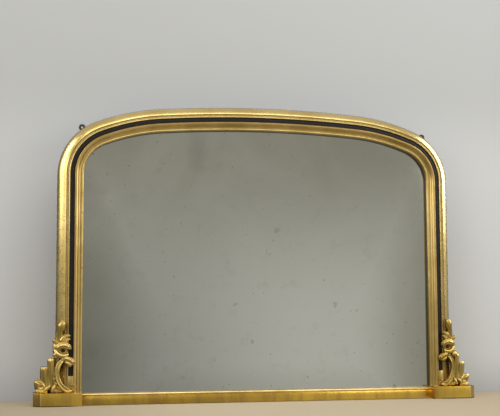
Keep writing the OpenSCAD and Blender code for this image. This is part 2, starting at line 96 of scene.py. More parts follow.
class MouldingSizes(bpy.types.PropertyGroup):
    """Sections of the three mouldings round the arch"""
    outer_width: length("Outer width", "Width of the outer gilt moulding", 0.0404)
    bead: length("Bead width", "Width of the small bead beside the slip", 0.0042)
    cove: length("Cove width", "Width of the hollow beside the bead", 0.0083)
    cove_depth: length("Cove depth", "Depth of that hollow", 0.0032)
    quirk: length("Quirk", "Height of the small steps beside the round", 0.0005)
    fall: length("Fall", "How far the big round falls back", 0.054)
    swell: length("Swell", "How far the big round swells out", 0.0095)
    slip_width: length("Slip width", "Width of the ebonised slip", 0.0157)
    slip_recess: length("Slip recess", "Depth of the slip behind the bead", 0.006)
    slip_rise: length("Slip rise", "Rise of the slip's rounded face", 0.001)
    slip_foot: length("Slip foot", "Height at which the slip ends", 0.095)
    sight_width: length("Sight width", "Width of the inner gilt moulding", 0.0278)
    lip: length("Lip", "Height of the inner moulding's lip", 0.003)
    lip_flat: length("Lip flat", "Width of the flat on that lip", 0.003)
    drop: length("Drop", "Drop from the lip to the foot of the ogee", 0.012)
    sight_bead: length("Sight bead", "Radius of the bead at the sight edge", 0.004)
    gap: length("Gap", "Gap on each side of the slip", 0.00015)
    back: length("Back", "Depth of the mouldings behind the bead", 0.0617)
    carcass: length("Carcass front", "Depth of the carcass's front face", 0.034)
    glass: length("Glass front", "Depth of the mirror plate's front face", 0.026)
    foot: length("Foot", "Height at which the mouldings meet the plinth blocks", 0.042)
    unevenness: length("Unevenness", "Waviness of the hand-laid gesso", 0.00035)
    lump: length("Lump length", "Length of that waviness", 0.028)
    seed: IntProperty(name="Seed", description="Pattern of the waviness", default=7)


class CarvingSizes(bpy.types.PropertyGroup):
    """Corner carvings"""
    height: length("Height", "Height of a carving above the plinth block", 0.231)
    grain: length("Fineness", "Size of the smallest carved detail", 0.00085)
    veins: length("Tool marks", "Depth of the carver's tool marks", 0.00010)
    soften: IntProperty(name="Softening", description="Rounds of softening by gesso", default=3)
    right: FloatProperty(name="Right width", default=0.85, min=0.7, max=1.1,
                         description="Width of the right carving against the left one")


class FinishColours(bpy.types.PropertyGroup):
    """Colours of the finishes"""
    outer_leaf: colour("Outer leaf", "Gold leaf on the outer moulding", (0.75, 0.555, 0.19))
    sight_leaf: colour("Sight leaf", "Gold leaf on the inner moulding", (0.68, 0.485, 0.16))
    carving_leaf: colour("Carving leaf", "Gold leaf on the carvings", (0.60, 0.43, 0.14))
    base_leaf: colour("Base leaf", "Gold leaf on the blocks and the rail", (0.87, 0.555, 0.075))
    # Painted highlight: this paler leaf covers the whole rail bead to stand for its bright line.
    bead_highlight_leaf: colour("Bead leaf", "Gold leaf on the rail's bead", (0.84, 0.63, 0.28))
    old_leaf: colour("Toned leaf", "Gold leaf under old size and dirt", (0.62, 0.44, 0.12))
    old_sight_leaf: colour("Toned sight leaf", "The same on the inner moulding", (0.52, 0.36, 0.09))
    old_carving_leaf: colour("Toned carving leaf", "The same on the carvings",
                             (0.44, 0.295, 0.062))
    old_base_leaf: colour("Toned base leaf", "The same on the blocks and the rail",
                          (0.73, 0.45, 0.068))
    bole: colour("Bole", "Clay under the leaf", (0.36, 0.15, 0.045))
    # This colour darkens hollows as dirt and painted shade, and paints the sight-edge line and the
    # blocks' foot shadow.
    grime: colour("Grime", "Dirt in the hollows", (0.055, 0.036, 0.014))
    ebony: colour("Ebonising", "Black finish of the slip", (0.010, 0.008, 0.0055))
    silver: colour("Silvering", "Old silver behind the glass", (0.80, 0.80, 0.70))
    # The plate's toning at the edges and the top: partly tarnish, partly painted dim reflection.
    tarnish_and_dim_reflection: colour("Tarnish", "Silver turned at the edges", (0.40, 0.385, 0.29))
    pine: colour("Pine", "Old pine", (0.36, 0.215, 0.105))
    board: colour("Backboards", "Pale softwood of the backboards", (0.40, 0.25, 0.13))
    dark_pine: colour("Dark pine", "Latewood and dirt", (0.17, 0.088, 0.036))
    iron: colour("Iron", "Blackened iron", (0.060, 0.052, 0.045))
    rust: colour("Rust", "Rust on iron and steel", (0.19, 0.075, 0.028))
    steel: colour("Steel", "Old steel", (0.30, 0.285, 0.26))


class StudioSettings(bpy.types.PropertyGroup):
    """Plain studio"""
    wall: colour("Wall", "Plain wall behind", (0.64, 0.66, 0.67))
    # Painted shade: the wall's darker left end; half this colour also darkens the wall near the
    # floor.
    wall_left_shade: colour("Wall, left", "The left end of the wall", (0.58, 0.595, 0.595))
    floor: colour("Floor", "Plain pale floor", (0.53, 0.44, 0.31))
    wall_gap: length("Wall distance", "From the frame's middle to the wall", 0.224)
    side: power("Side cards", "Power of the cards beside the frame", 45.0)
    front: power("Front lamps", "Power of each front lamp", 42.0)
    top: power("Top lamp", "Power of the top lamp", 95.0)
    air: brightness("Air", "Brightness of the air in front", 0.46)
    side_air: brightness("Air beside", "Brightness of the air on both sides", 0.38)
    back_air: brightness("Air behind", "Brightness of the air behind", 0.12)
    high_air: brightness("Air above", "Brightness of the air above", 0.62)


GROUPS = {"overmantel_arch": ArchSizes, "overmantel_mouldings": MouldingSizes,
          "overmantel_carving": CarvingSizes, "overmantel_finishes": FinishColours,
          "overmantel_studio": StudioSettings}


# ---- Making and baking pieces ----

def new_object(name, mesh):
    piece = bpy.data.objects.new(name, mesh)
    bpy.context.scene.collection.objects.link(piece)
    return piece


def mesh_from(name, points, faces, edges=()):
    mesh = bpy.data.meshes.new(name)
    mesh.from_pydata([tuple(p) for p in points], list(edges), [tuple(f) for f in faces])
    mesh.update()
    return mesh


@contextlib.contextmanager
def shaping(mesh, source=None):
    """Opens a mesh for editing, or a copy of source, and writes the result to the mesh."""
    work = bmesh.new()
    work.from_mesh(source or mesh)
    yield work
    work.to_mesh(mesh)
    work.free()


def bake(piece):
    """Applies the modifiers, so that the piece is a plain mesh."""
    bpy.context.view_layer.update()
    graph = bpy.context.evaluated_depsgraph_get()
    mesh = bpy.data.meshes.new_from_object(piece.evaluated_get(graph), depsgraph=graph)
    old = piece.data
    piece.modifiers.clear()
    piece.data = mesh
    if old.users == 0:
        bpy.data.meshes.remove(old)


def tidied(piece, sharp=38.0, turn_out=True):
    """Closes seams, points the faces outwards and keeps the hard edges crisp."""
    limit = math.radians(sharp)
    with shaping(piece.data) as work:
        if turn_out:
            bmesh.ops.remove_doubles(work, verts=work.verts, dist=1e-6)
            bmesh.ops.recalc_face_normals(work, faces=work.faces)
        for face in work.faces:
            face.smooth = True
        for edge in work.edges:
            edge.smooth = not (len(edge.link_faces) == 2 and edge.calc_face_angle(0.0) > limit)
    return piece


def set_on_frame(piece, nodes, material, slot):
    """Gives a piece its finish, and sets it on the frame in place of CAD nodes."""
    piece.data.materials.clear()
    piece.data.materials.append(material)
    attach(piece, "root")
    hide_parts(*nodes)


def soften(name, node, material, slot, radius, segments=2):
    """Sets a copy of a CAD node, with its arrises eased, in its place."""
    mesh = bpy.data.meshes.new(name)
    with shaping(mesh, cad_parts[node].data) as work:
        bmesh.ops.remove_doubles(work, verts=work.verts, dist=1e-5)
        bmesh.ops.dissolve_limit(work, angle_limit=math.radians(0.5), verts=work.verts,
                                 edges=work.edges)
    piece = new_object(name, mesh)
    bevel = piece.modifiers.new("eased", "BEVEL")
    bevel.width, bevel.segments = radius, segments
    bevel.limit_method, bevel.angle_limit = "ANGLE", math.radians(30)
    bake(piece)
    with shaping(piece.data) as work:
        bmesh.ops.triangulate(work, faces=[f for f in work.faces if len(f.verts) > 4])
    tidied(piece, 32.0, turn_out=False)
    set_on_frame(piece, [node], material, slot)


def solids(node):
    """Low and high corners of each separate solid in a CAD node."""
    work = bmesh.new()
    work.from_mesh(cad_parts[node].data)
    bmesh.ops.remove_doubles(work, verts=work.verts, dist=1e-6)
    left, boxes = set(work.verts), []
    while left:
        island, edge = set(), [left.pop()]
        while edge:
            vert = edge.pop()
            island.add(vert)
            for other in (e.other_vert(vert) for e in vert.link_edges):
                if other in left:
                    left.discard(other)
                    edge.append(other)
        points = np.array([v.co for v in island])
        boxes.append((points.min(0), points.max(0)))
    work.free()
    return sorted(boxes, key=lambda b: tuple(np.round(b[0], 4)))


# ---- Node trees ----

class Tree:
    """Adds nodes to a tree and feeds their sockets."""

    def __init__(self, tree):
        self.tree = tree

    def add(self, kind, feeds=None, **settings):
        made = self.tree.nodes.new(kind)
        made.location = (220 * (len(self.tree.nodes) % 12), -260 * (len(self.tree.nodes) // 12))
        for key, value in settings.items():
            setattr(made, key, value)
        for key, value in (feeds or {}).items():
            self.feed(made.inputs[key], value)
        return made

    def feed(self, socket, value):
        if isinstance(value, bpy.types.NodeSocket):
            self.tree.links.new(value, socket)
        elif socket.type == "RGBA":
            socket.default_value = (*value[:3], 1.0)
        else:
            socket.default_value = value

    def axes(self, place):
        """The x, y and z of a vector."""
        return self.add("ShaderNodeSeparateXYZ", {0: place}).outputs

    def vector(self, operation, feeds):
        return self.add("ShaderNodeVectorMath", feeds, operation=operation).outputs

    def sum(self, operation, *numbers, clamp=False):
        feeds = dict(enumerate(numbers))
        return self.add("ShaderNodeMath", feeds, operation=operation, use_clamp=clamp).outputs[0]

    def times(self, a, b, clamp=False):
        return self.sum("MULTIPLY", a, b, clamp=clamp)

    def scaled(self, a, share, more, clamp=False):
        """A share of a, and more."""
        return self.sum("MULTIPLY_ADD", a, share, more, clamp=clamp)

    def less(self, a, b):
        return self.sum("SUBTRACT", a, b)

    def most(self, a, b):
        return self.sum("MAXIMUM", a, b)

    def size(self, a):
        return self.sum("ABSOLUTE", a)

    def between(self, value, low, high, to_low=0.0, to_high=1.0):
        feeds = {0: value, 1: low, 2: high, 3: to_low, 4: to_high}
        return self.add("ShaderNodeMapRange", feeds, interpolation_type="SMOOTHSTEP").outputs[0]

    def mix(self, share, a, b):
        return self.add("ShaderNodeMix", {0: share, 6: a, 7: b}, data_type="RGBA").outputs[2]

    def noise(self, vector, scale, detail=3.0, rough=0.55, twist=0.0):
        feeds = {"Vector": vector, "Scale": scale, "Detail": detail, "Roughness": rough,
                 "Distortion": twist}
        return self.add("ShaderNodeTexNoise", feeds).outputs[0]

    def stretched(self, vector, scale, turn=(0.0, 0.0, 0.0), move=(0.0, 0.0, 0.0)):
        feeds = {"Vector": vector, "Scale": scale, "Rotation": turn, "Location": move}
        return self.add("ShaderNodeMapping", feeds).outputs[0]

    def attribute(self, name):
        return self.add("ShaderNodeAttribute", attribute_name=name).outputs["Fac"]

    def group(self, tree, **feeds):
        made = self.add("ShaderNodeGroup", node_tree=tree)
        for key, value in feeds.items():
            self.feed(made.inputs[key.replace("_", " ").capitalize()], value)
        return made


NUMBER, TINT, ARROW = "NodeSocketFloat", "NodeSocketColor", "NodeSocketVector"
WHOLE, SHAPE = "NodeSocketInt", "NodeSocketGeometry"


def new_group(kind, name, inputs, outputs):
    """An empty node group with named sockets, and its input and output nodes."""
    tree = bpy.data.node_groups.new(name, kind)
    for label, socket_type, *default in inputs:
        socket = tree.interface.new_socket(label, in_out="INPUT", socket_type=socket_type)
        if default:
            socket.default_value = default[0]
    for label, socket_type in outputs:
        tree.interface.new_socket(label, in_out="OUTPUT", socket_type=socket_type)
    work = Tree(tree)
    return work, work.add("NodeGroupInput").outputs, work.add("NodeGroupOutput").inputs


def close_shape(work, into, out, shape):
    """Ends a geometry tree with real geometry in its finish."""
    whole = work.add("GeometryNodeRealizeInstances", {0: shape}).outputs[0]
    done = work.add("GeometryNodeSetMaterial", {"Geometry": whole, "Material": into["Finish"]})
    work.feed(out[0], done.outputs[0])
    return work.tree


def gilding_group():
    """Water gilding: laid leaf over bole, rubbed on its high parts, darkened in its hollows by dirt
    and painted shade.
    """
    work, into, out = new_group(
        "ShaderNodeTree", "gilding",
        [("Vector", ARROW), ("Hollow", NUMBER, 0.0), ("Leaf", TINT), ("Old leaf", TINT),
         ("Bole", TINT), ("Grime", TINT), ("Rub", NUMBER, 0.3), ("Dirt", NUMBER, 0.5),
         ("Laps", NUMBER, 0.0), ("Matt", NUMBER, 0.0)],
        [("Colour", TINT), ("Metal", NUMBER), ("Roughness", NUMBER), ("Height", NUMBER)])
    place = into["Vector"]
    tone = work.noise(place, 9.0, 3.0, 0.5, 0.4)
    fine = work.noise(place, 160.0, 3.0, 0.5)
    blotch = work.noise(place, 34.0, 5.0, 0.62, 0.8)
    leaf = work.mix(work.between(tone, 0.36, 0.66), into["Old leaf"], into["Leaf"])
    leaf = work.mix(work.between(blotch, 0.42, 0.72, 0.0, 0.45), leaf, into["Old leaf"])
    high = work.between(into["Hollow"], -0.15, -0.75)
    worn = work.scaled(high, 0.42, blotch)
    worn = work.scaled(into["Laps"], 0.10, worn)
    worn = work.scaled(into["Rub"], 0.40, worn)
    rubbed = work.between(work.scaled(fine, 0.25, worn), 0.86, 1.02)
    # Darkening in the hollows: partly dirt, partly painted shade in the recesses.
    low = work.between(work.scaled(fine, 0.35, into["Hollow"]), 0.22, 0.95)
    speck = work.add("ShaderNodeTexVoronoi", {"Vector": place, "Scale": 210.0}).outputs[0]
    pits = work.times(work.between(speck, 0.13, 0.05), work.between(blotch, 0.5, 0.6))
    dirt = work.times(into["Dirt"], work.most(low, pits), clamp=True)
    # Painted shade: a hollow value above 1.1 marks the sight edge's inner wall, which is painted
    # dark.
    dirt = work.most(dirt, work.between(into["Hollow"], 1.1, 1.7, 0.0, 0.95))
    tint = work.mix(work.times(rubbed, 0.85), leaf, into["Bole"])
    work.feed(out["Colour"], work.mix(dirt, tint, into["Grime"]))
    metal = work.scaled(rubbed, -0.45, 0.96)
    work.feed(out["Metal"], work.scaled(dirt, -0.55, metal, clamp=True))
    rough = work.scaled(blotch, 0.22, work.sum("ADD", into["Matt"], 0.13))
    rough = work.scaled(rubbed, 0.10, rough)
    work.feed(out["Roughness"], work.scaled(dirt, 0.30, rough, clamp=True))
    height = work.scaled(rubbed, -0.30, work.times(fine, 0.35))
    height = work.scaled(pits, -0.6, height)
    work.feed(out["Height"], work.scaled(blotch, 0.5, height))
    return work.tree


def wood_group():
    """Sawn softwood: growth rings along one axis, darker latewood, and dirt."""
    work, into, out = new_group(
        "ShaderNodeTree", "sawn_wood",
        [("Vector", ARROW), ("Light", TINT), ("Dark", TINT), ("Rings", NUMBER, 60.0),
         ("Age", NUMBER, 0.4)],
        [("Colour", TINT), ("Roughness", NUMBER), ("Height", NUMBER)])
    place = into["Vector"]
    bend = work.noise(place, 2.2, 2.0, 0.5)
    ring = work.add("ShaderNodeTexWave", {"Vector": place, "Scale": into["Rings"],
                                          "Distortion": 5.5, "Detail": 2.0, "Detail Scale": 0.6},
                    bands_direction="Y").outputs[1]
    fibre = work.noise(work.stretched(place, (1.0, 26.0, 26.0)), 16.0, 4.0, 0.6)
    late = work.times(work.between(ring, 0.45, 0.95), work.between(bend, 0.2, 0.8, 0.5, 1.0))
    grainy = work.scaled(fibre, 0.45, work.times(late, 0.6))
    tint = work.mix(grainy, into["Light"], into["Dark"])
    stain = work.between(work.noise(place, 5.0, 5.0, 0.65, 0.6), 0.46, 0.72)
    tint = work.mix(work.times(stain, into["Age"]), tint, into["Dark"])
    work.feed(out["Colour"], tint)
    work.feed(out["Roughness"], work.scaled(grainy, 0.14, 0.66))
    work.feed(out["Height"], work.less(work.times(fibre, 0.5), work.times(late, 0.35)))
    return work.tree


def specks_group():
    """Scattered specks of many sizes, for foxing, rust and chips."""
    work, into, out = new_group(
        "ShaderNodeTree", "specks",
        [("Vector", ARROW), ("Scale", NUMBER, 40.0), ("Share", NUMBER, 0.3)], [("Mask", NUMBER)])
    wander = work.add("ShaderNodeTexNoise", {"Vector": into["Vector"], "Detail": 3.0,
                                             "Scale": work.times(into["Scale"], 1.6)})
    push = work.vector("SUBTRACT", {0: wander.outputs[1], 1: (0.5, 0.5, 0.5)})[0]
    reach = work.sum("DIVIDE", 0.9, into["Scale"])
    push = work.vector("SCALE", {0: push, "Scale": reach})[0]
    place = work.vector("ADD", {0: into["Vector"], 1: push})[0]
    cells = work.add("ShaderNodeTexVoronoi", {"Vector": place, "Scale": into["Scale"]})
    size = work.add("ShaderNodeSeparateColor", {0: cells.outputs[1]}).outputs[0]
    kept = work.between(size, work.less(1.0, into["Share"]), 1.0)
    reach = work.times(kept, 0.32)
    edge = work.noise(into["Vector"], work.times(into["Scale"], 3.0), 2.0)
    ragged = work.scaled(edge, 0.16, cells.outputs[0])
    mask = work.less(work.sum("ADD", reach, 0.08), ragged)
    work.feed(out["Mask"], work.between(mask, 0.0, 0.05))
    return work.tree


def object_place(work):
    return work.add("ShaderNodeTexCoord").outputs["Object"]


def empty_material(name):
    material = bpy.data.materials.new(name)
    material.use_nodes = True
    material.node_tree.nodes.clear()
    return material, Tree(material.node_tree)


def new_finish(name):
    """A material's tree, the inputs of its shader and the place that its patterns follow."""
    work = empty_material(name)[1]
    shader = work.add("ShaderNodeBsdfPrincipled")
    work.add("ShaderNodeOutputMaterial", {0: shader.outputs[0]})
    return work, shader.inputs, object_place(work)


def set_shader(work, shader, height, relief, values):
    """Feeds a shader its values, and a bump of the given height and depth."""
    dents = work.add("ShaderNodeBump", {"Height": height, "Distance": relief}).outputs[0]
    for name, value in {**values, "Normal": dents}.items():
        work.feed(shader[name], value)


# Places of the marks on the gilding, in metres
LAP_STEP = 0.083     # from one lap of the laid leaf to the next
SEAM = 0.634         # x of the joint between a plinth block and the bottom rail
ARRIS = 0.7275       # x of the corner where a block's canted end starts
SHADED_FACET = 0.7278       # x where the painted shade on that end starts


def lap_lines(work, place):
    """Thin lines where one laid leaf laps the next along a moulding."""
    shift = work.noise(place, 14.0, 2.0)
    along = work.times(work.attribute("along"), 1.0 / LAP_STEP)
    step = work.scaled(shift, 0.10, along)
    return work.between(work.sum("PINGPONG", step, 0.5), 0.035, 0.0)


def base_marks(work, place, colours, tint, height):
    """Streaks, painted shade on the canted ends, a painted highlight along their arrises, a painted
    contact shadow at the foot and the open joints.
    """
    x, _, z = work.axes(place)
    out = work.size(x)
    streak = work.noise(work.stretched(place, (1.0, 1.0, 0.15)), 32.0, 3.0, 0.55)
    tint = work.mix(work.between(streak, 0.42, 0.66, 0.0, 0.45), tint, (0.50, 0.26, 0.060))
    # Painted shade on the canted ends, stronger on the left end than on the right.
    end = work.times(work.between(out, SHADED_FACET, SHADED_FACET + 0.0014),
                     work.between(z, BLOCK_TOP - 0.0005, BLOCK_TOP - 0.0025))
    end = work.times(end, work.between(x, -0.1, 0.1, 0.5, 0.15))
    tint = work.mix(end, tint, (0.26, 0.13, 0.040))
    # Painted highlight: a pale line along the arris where each canted end starts.
    corner = work.size(work.less(out, ARRIS))
    tint = work.mix(work.between(corner, 0.0022, 0.0008, 0.0, 0.6), tint, (0.95, 0.72, 0.34))
    # Painted contact shadow: the blocks darkened along their foot.
    foot = work.times(work.between(z, 0.0042, 0.0018, 0.0, 0.85), work.between(out, 0.60, 0.64))
    tint = work.mix(foot, tint, colours.grime)
    off = work.size(work.less(out, SEAM))
    wander = work.scaled(work.noise(place, 60.0), 0.0012, off)
    crack = work.between(wander, 0.0011, 0.0006)
    tint = work.mix(work.times(crack, 0.75), tint, colours.grime)
    return tint, work.scaled(crack, -1.5, height)


def carving_back_shade(work, place, colours, tint, height):
    """Leaf that darkens towards the back of the carvings, as painted shade."""
    back = work.between(work.axes(place)[1], -0.034, -0.012, 0.0, 0.80)
    return work.mix(back, tint, (0.22, 0.135, 0.045)), height


def gilt_material(name, groups, leaf, old_leaf, rub, dirt, coat, relief, matt=0.0, lumps=0.0,
                  laps=False, marks=None):
    """One of the gilt finishes, which differ in leaf, rubbing, dirt, dulling and relief."""
    colours = bpy.context.scene.overmantel_finishes
    work, shader, place = new_finish(name)
    feeds = {"vector": place, "hollow": work.attribute("hollow"), "leaf": leaf,
             "old_leaf": old_leaf, "bole": colours.bole, "grime": colours.grime, "rub": rub,
             "dirt": dirt, "matt": matt}
    if laps:
        feeds["laps"] = lap_lines(work, place)
    gilding = work.group(groups["gilding"], **feeds).outputs
    tint, height = gilding["Colour"], gilding["Height"]
    if marks:
        tint, height = marks(work, place, colours, tint, height)
    if lumps:
        height = work.scaled(work.noise(place, 55.0, 2.0), lumps, height)
    set_shader(work, shader, height, relief, {
        "Base Color": tint, "Metallic": gilding["Metal"], "Roughness": gilding["Roughness"],
        "Coat Weight": coat, "Coat Roughness": 0.28})


def ebonised_material(groups):
    """Black finish over wood, streaked along the moulding, rubbed brown on its edges."""
    colours = bpy.context.scene.overmantel_finishes
    work, shader, place = new_finish("ebonised_finish")
    across, along = work.attribute("across"), work.attribute("along")
    line = work.add("ShaderNodeCombineXYZ",
                    {0: work.times(along, 4.0), 1: work.times(across, 300.0)}).outputs[0]
    streak = work.noise(line, 3.0, 4.0, 0.6)
    edge = work.between(work.attribute("hollow"), -0.2, -0.8)
    chips = work.group(groups["specks"], vector=place, scale=130.0, share=0.12).outputs[0]
    worn = work.times(edge, work.between(streak, 0.45, 0.6))
    tint = work.mix(work.between(streak, 0.4, 0.75, 0.0, 0.6), colours.ebony,
                    (0.020, 0.015, 0.009))
    tint = work.mix(work.most(worn, chips), tint, (0.090, 0.050, 0.022))
    rough = work.scaled(chips, 0.3, work.scaled(streak, 0.22, 0.24))
    set_shader(work, shader, work.less(work.times(streak, 0.4), chips), 0.00018,
               {"Base Color": tint, "Roughness": rough, "Specular IOR Level": 0.3})


def silvering_material(groups):
    """Old plate: silver that greys towards the edges and top as tarnish and painted dim reflection,
    clouds, foxes and blackens in specks.
    """
    colours = bpy.context.scene.overmantel_finishes
    work, shader, place = new_finish("aged_silvering")
    x, _, z = work.axes(place)
    cloud = work.noise(place, 3.2, 4.0, 0.55, 0.7)
    # Greying towards the sides, the top and the foot: partly tarnish, partly painted dim
    # reflection.
    side = work.between(work.size(x), 0.30, 0.64, 0.0, 0.9)
    head = work.between(z, 0.25, 0.90, 0.0, 0.85)
    foot = work.between(z, 0.14, 0.03, 0.0, 0.30)
    edge = work.most(work.most(side, head), foot)
    edge = work.times(edge, work.between(cloud, 0.2, 0.8, 0.80, 1.1), clamp=True)
    tint = work.mix(edge, colours.silver, colours.tarnish_and_dim_reflection)
    # Painted dim reflection: a patch that darkens the plate high on the left, also roughened as a
    # smudge.
    smear = work.stretched(place, (1.0, 1.0, 0.42), move=(0.215, 0.0, -0.357))
    reach = work.vector("LENGTH", {0: smear})["Value"]
    reach = work.scaled(work.noise(place, 18.0, 4.0), 0.03, reach)
    smudge_and_dim_reflection = work.between(reach, 0.066, 0.020, 0.0, 0.34)
    tint = work.mix(smudge_and_dim_reflection, tint, (0.30, 0.29, 0.24))
    near_edge = work.between(edge, 0.15, 0.9, 0.05, 0.15)
    small = work.group(groups["specks"], vector=place, scale=85.0, share=near_edge).outputs[0]
    large = work.group(groups["specks"], vector=place, scale=34.0, share=0.05).outputs[0]
    haze = work.between(work.noise(place, 22.0, 5.0, 0.7), 0.52, 0.74)
    fox = work.most(work.times(small, 0.45), work.times(large, 0.35))
    tint = work.mix(work.times(haze, 0.16), tint, (0.36, 0.34, 0.25))
    tint = work.mix(fox, tint, (0.13, 0.12, 0.085))
    rough = work.scaled(smudge_and_dim_reflection, 0.22, work.scaled(cloud, 0.05, 0.02))
    set_shader(work, shader, work.noise(place, 5.0, 1.0), 0.00012, {
        "Base Color": tint, "Roughness": work.scaled(fox, 0.25, rough),
        "Metallic": work.scaled(fox, -0.4, 1.0), "Coat Weight": 0.6, "Coat Roughness": 0.02})


def wood_material(name, groups, light, dark, turned, rings=60.0, age=0.4):
    """Old softwood with knots, and dust on what faces up."""
    work, shader, place = new_finish(name)
    place = work.stretched(place, (1.0, 1.0, 1.0), turned)
    wood = work.group(groups["wood"], vector=place, light=light, dark=dark, rings=rings, age=age)
    knots = work.group(groups["specks"], vector=work.stretched(place, (0.35, 1.0, 1.0)),
                       scale=7.0, share=0.10).outputs[0]
    tint = work.mix(work.times(knots, 0.7), wood.outputs["Colour"], (0.07, 0.032, 0.014))
    up = work.axes(work.add("ShaderNodeNewGeometry").outputs["Normal"])[2]
    dust = work.times(work.between(up, 0.5, 0.95), 0.45)
    tint = work.mix(dust, tint, (0.30, 0.27, 0.23))
    set_shader(work, shader, wood.outputs["Height"], 0.0004, {
        "Base Color": tint, "Roughness": wood.outputs["Roughness"], "Specular IOR Level": 0.3})


def metal_material(name, groups, base, rusty, scale, metal):
    """Hammered metal with patches and pits of rust."""
    colours = bpy.context.scene.overmantel_finishes
    work, shader, place = new_finish(name)
    hammer = work.noise(place, scale, 3.0, 0.5)
    patches = work.between(work.noise(place, scale * 1.7, 5.0, 0.65), 0.62 - 0.3 * rusty, 0.72)
    pits = work.group(groups["specks"], vector=place, scale=scale * 5.0, share=0.3).outputs[0]
    rust = work.times(work.most(patches, work.times(pits, 0.7)), rusty)
    set_shader(work, shader, work.less(hammer, work.times(pits, 0.3)), 0.0005, {
        "Base Color": work.mix(rust, base, colours.rust),
        "Metallic": work.scaled(rust, -metal * 0.8, metal, clamp=True),
        "Roughness": work.scaled(rust, 0.35, 0.42, clamp=True)})


def build_finishes():
    """Builds the shared effects, and then each finish from them."""
    colours = bpy.context.scene.overmantel_finishes
    groups = {"gilding": gilding_group(), "wood": wood_group(), "specks": specks_group()}
    quarter = math.radians(90)
    gilt_material("gilt_outer", groups, colours.outer_leaf, colours.old_leaf, laps=True,
                  rub=0.06, dirt=0.60, coat=0.65, relief=0.00014, matt=0.04)
    gilt_material("gilt_sight", groups, colours.sight_leaf, colours.old_sight_leaf, laps=True,
                  rub=0.0, dirt=0.35, coat=0.6, relief=0.00003, matt=0.08)
    gilt_material("gilt_carving", groups, colours.carving_leaf, colours.old_carving_leaf,
                  rub=0.08, dirt=0.90, coat=0.12, relief=0.00014, matt=0.11, lumps=0.2,
                  marks=carving_back_shade)
    gilt_material("gilt_base", groups, colours.base_leaf, colours.old_base_leaf, rub=0.08,
                  dirt=0.60, coat=0.15, relief=0.00012, lumps=0.2, marks=base_marks)
    # The bead's paler leaf is a painted highlight.
    gilt_material("gilt_bead", groups, colours.bead_highlight_leaf, colours.old_leaf, rub=0.0, dirt=0.20,
                  coat=0.8, relief=0.00002, matt=0.09)
    ebonised_material(groups)
    silvering_material(groups)
    wood_material("pine_up", groups, colours.pine, colours.dark_pine, (0.0, quarter, 0.0))
    wood_material("pine_across", groups, colours.pine, colours.dark_pine, (0.0, 0.0, 0.0))
    wood_material("backboard_pine", groups, colours.board, colours.dark_pine,
                  (quarter, 0.0, 0.0), 22.0, 0.55)
    metal_material("blackened_iron", groups, colours.iron, 0.35, 90.0, 0.75)
    metal_material("screw_steel", groups, colours.steel, 0.5, 260.0, 0.85)
    metal_material("nail_iron", groups, colours.iron, 0.7, 300.0, 0.6)


def finishes():
    """All materials by name, with the finishes among them, which are built once."""
    if "gilt_outer" not in bpy.data.materials:
        build_finishes()
    return bpy.data.materials


# ---- Swept mouldings ----
# A section is a row of points (u, f, hollow): u across the frame from the arch line, outwards,
# f forwards from the bead, and hollow from -1 on a rubbed edge to 1 in a hollow darkened by dirt
# and painted shade, and up to 2 where the sight edge's inner wall is painted dark as shade.

OUTER_REBATE = 0.0303   # u where the back of the outer moulding steps onto the carcass
SIGHT_REBATE = -0.031   # u where the back of the sight moulding does


def arc(start, end, rise, count):
    """Points from start to end on an arc that bulges to the left by rise."""
    start, end = Vector(start), Vector(end)
    way = end - start
    chord, left = way.length, Vector((-way.y, way.x)).normalized()
    size = abs(rise)
    radius = (chord * chord / 4 + size * size) / (2 * size)
    centre = (start + end) / 2 + left * (size - radius) * math.copysign(1, rise)
    first = math.atan2(start.y - centre.y, start.x - centre.x)
    turn = 2 * math.asin(min(1.0, chord / 2 / radius))
    turn = -turn if rise > 0 else turn
    return [(centre.x + radius * math.cos(first + turn * i / count),
             centre.y + radius * math.sin(first + turn * i / count)) for i in range(count + 1)]


def round_points(centre, radius, first, last, count):
    step = (last - first) / count
    return [(centre[0] + radius * math.cos(math.radians(first + step * i)),
             centre[1] + radius * math.sin(math.radians(first + step * i)))
            for i in range(count + 1)]


def outer_section(m):
    """The outer moulding: bead, cove, quirk and the big round."""
    steps = 26
    r, dip, middle = m.bead / 2, m.quirk, m.bead + m.cove / 2
    reach = (m.cove - 2 * dip) / 2
    edge = (m.bead + m.cove, -r)
    meet, far = (middle - reach, -r - dip), (middle + reach, -r - dip)
    points = [(m.gap, -m.carcass, 0.4), (m.gap, -r - 0.003, 0.6)]
    points += [(u, f, -0.35) for u, f in round_points((r, -r), r - m.gap / 2, 180, -10, 10)]
    points += [(meet[0] - 0.0002, meet[1], 0.75)]
    points += [(u, f, 0.50) for u, f in arc(meet, far, -m.cove_depth, 10)]
    points += [(edge[0] - 0.0001, edge[1] - dip, 1.0), (edge[0] + 0.0001, edge[1] - 0.0001, -0.5)]
    big = arc(edge, (m.outer_width, -m.fall), m.swell, steps)[1:]
    points += [(u, f, -0.1 + 0.4 * max(0.0, i / steps - 0.8)) for i, (u, f) in enumerate(big)]
    wall = m.outer_width - dip
    points += [(wall, -m.fall - 0.0004, 0.3), (wall, -m.back + 0.0006, 0.1),
               (wall - 0.0006, -m.back, 0.1), (OUTER_REBATE, -m.back, 0.2),
               (OUTER_REBATE, -m.carcass, 0.2)]
    return points


def slip_section(m):
    """The ebonised slip, with a rounded face and sharp edges."""
    steps, wide, low = 14, m.slip_width - 2 * m.gap, -m.slip_recess
    top = arc((-m.gap - wide, low), (-m.gap, low), m.slip_rise, steps)
    points = [(u, f, -1.0 if i in (0, steps) else 0.0) for i, (u, f) in enumerate(top)]
    return points + [(-m.gap, -m.carcass, 0.5), (-m.gap - wide, -m.carcass, 0.5)]


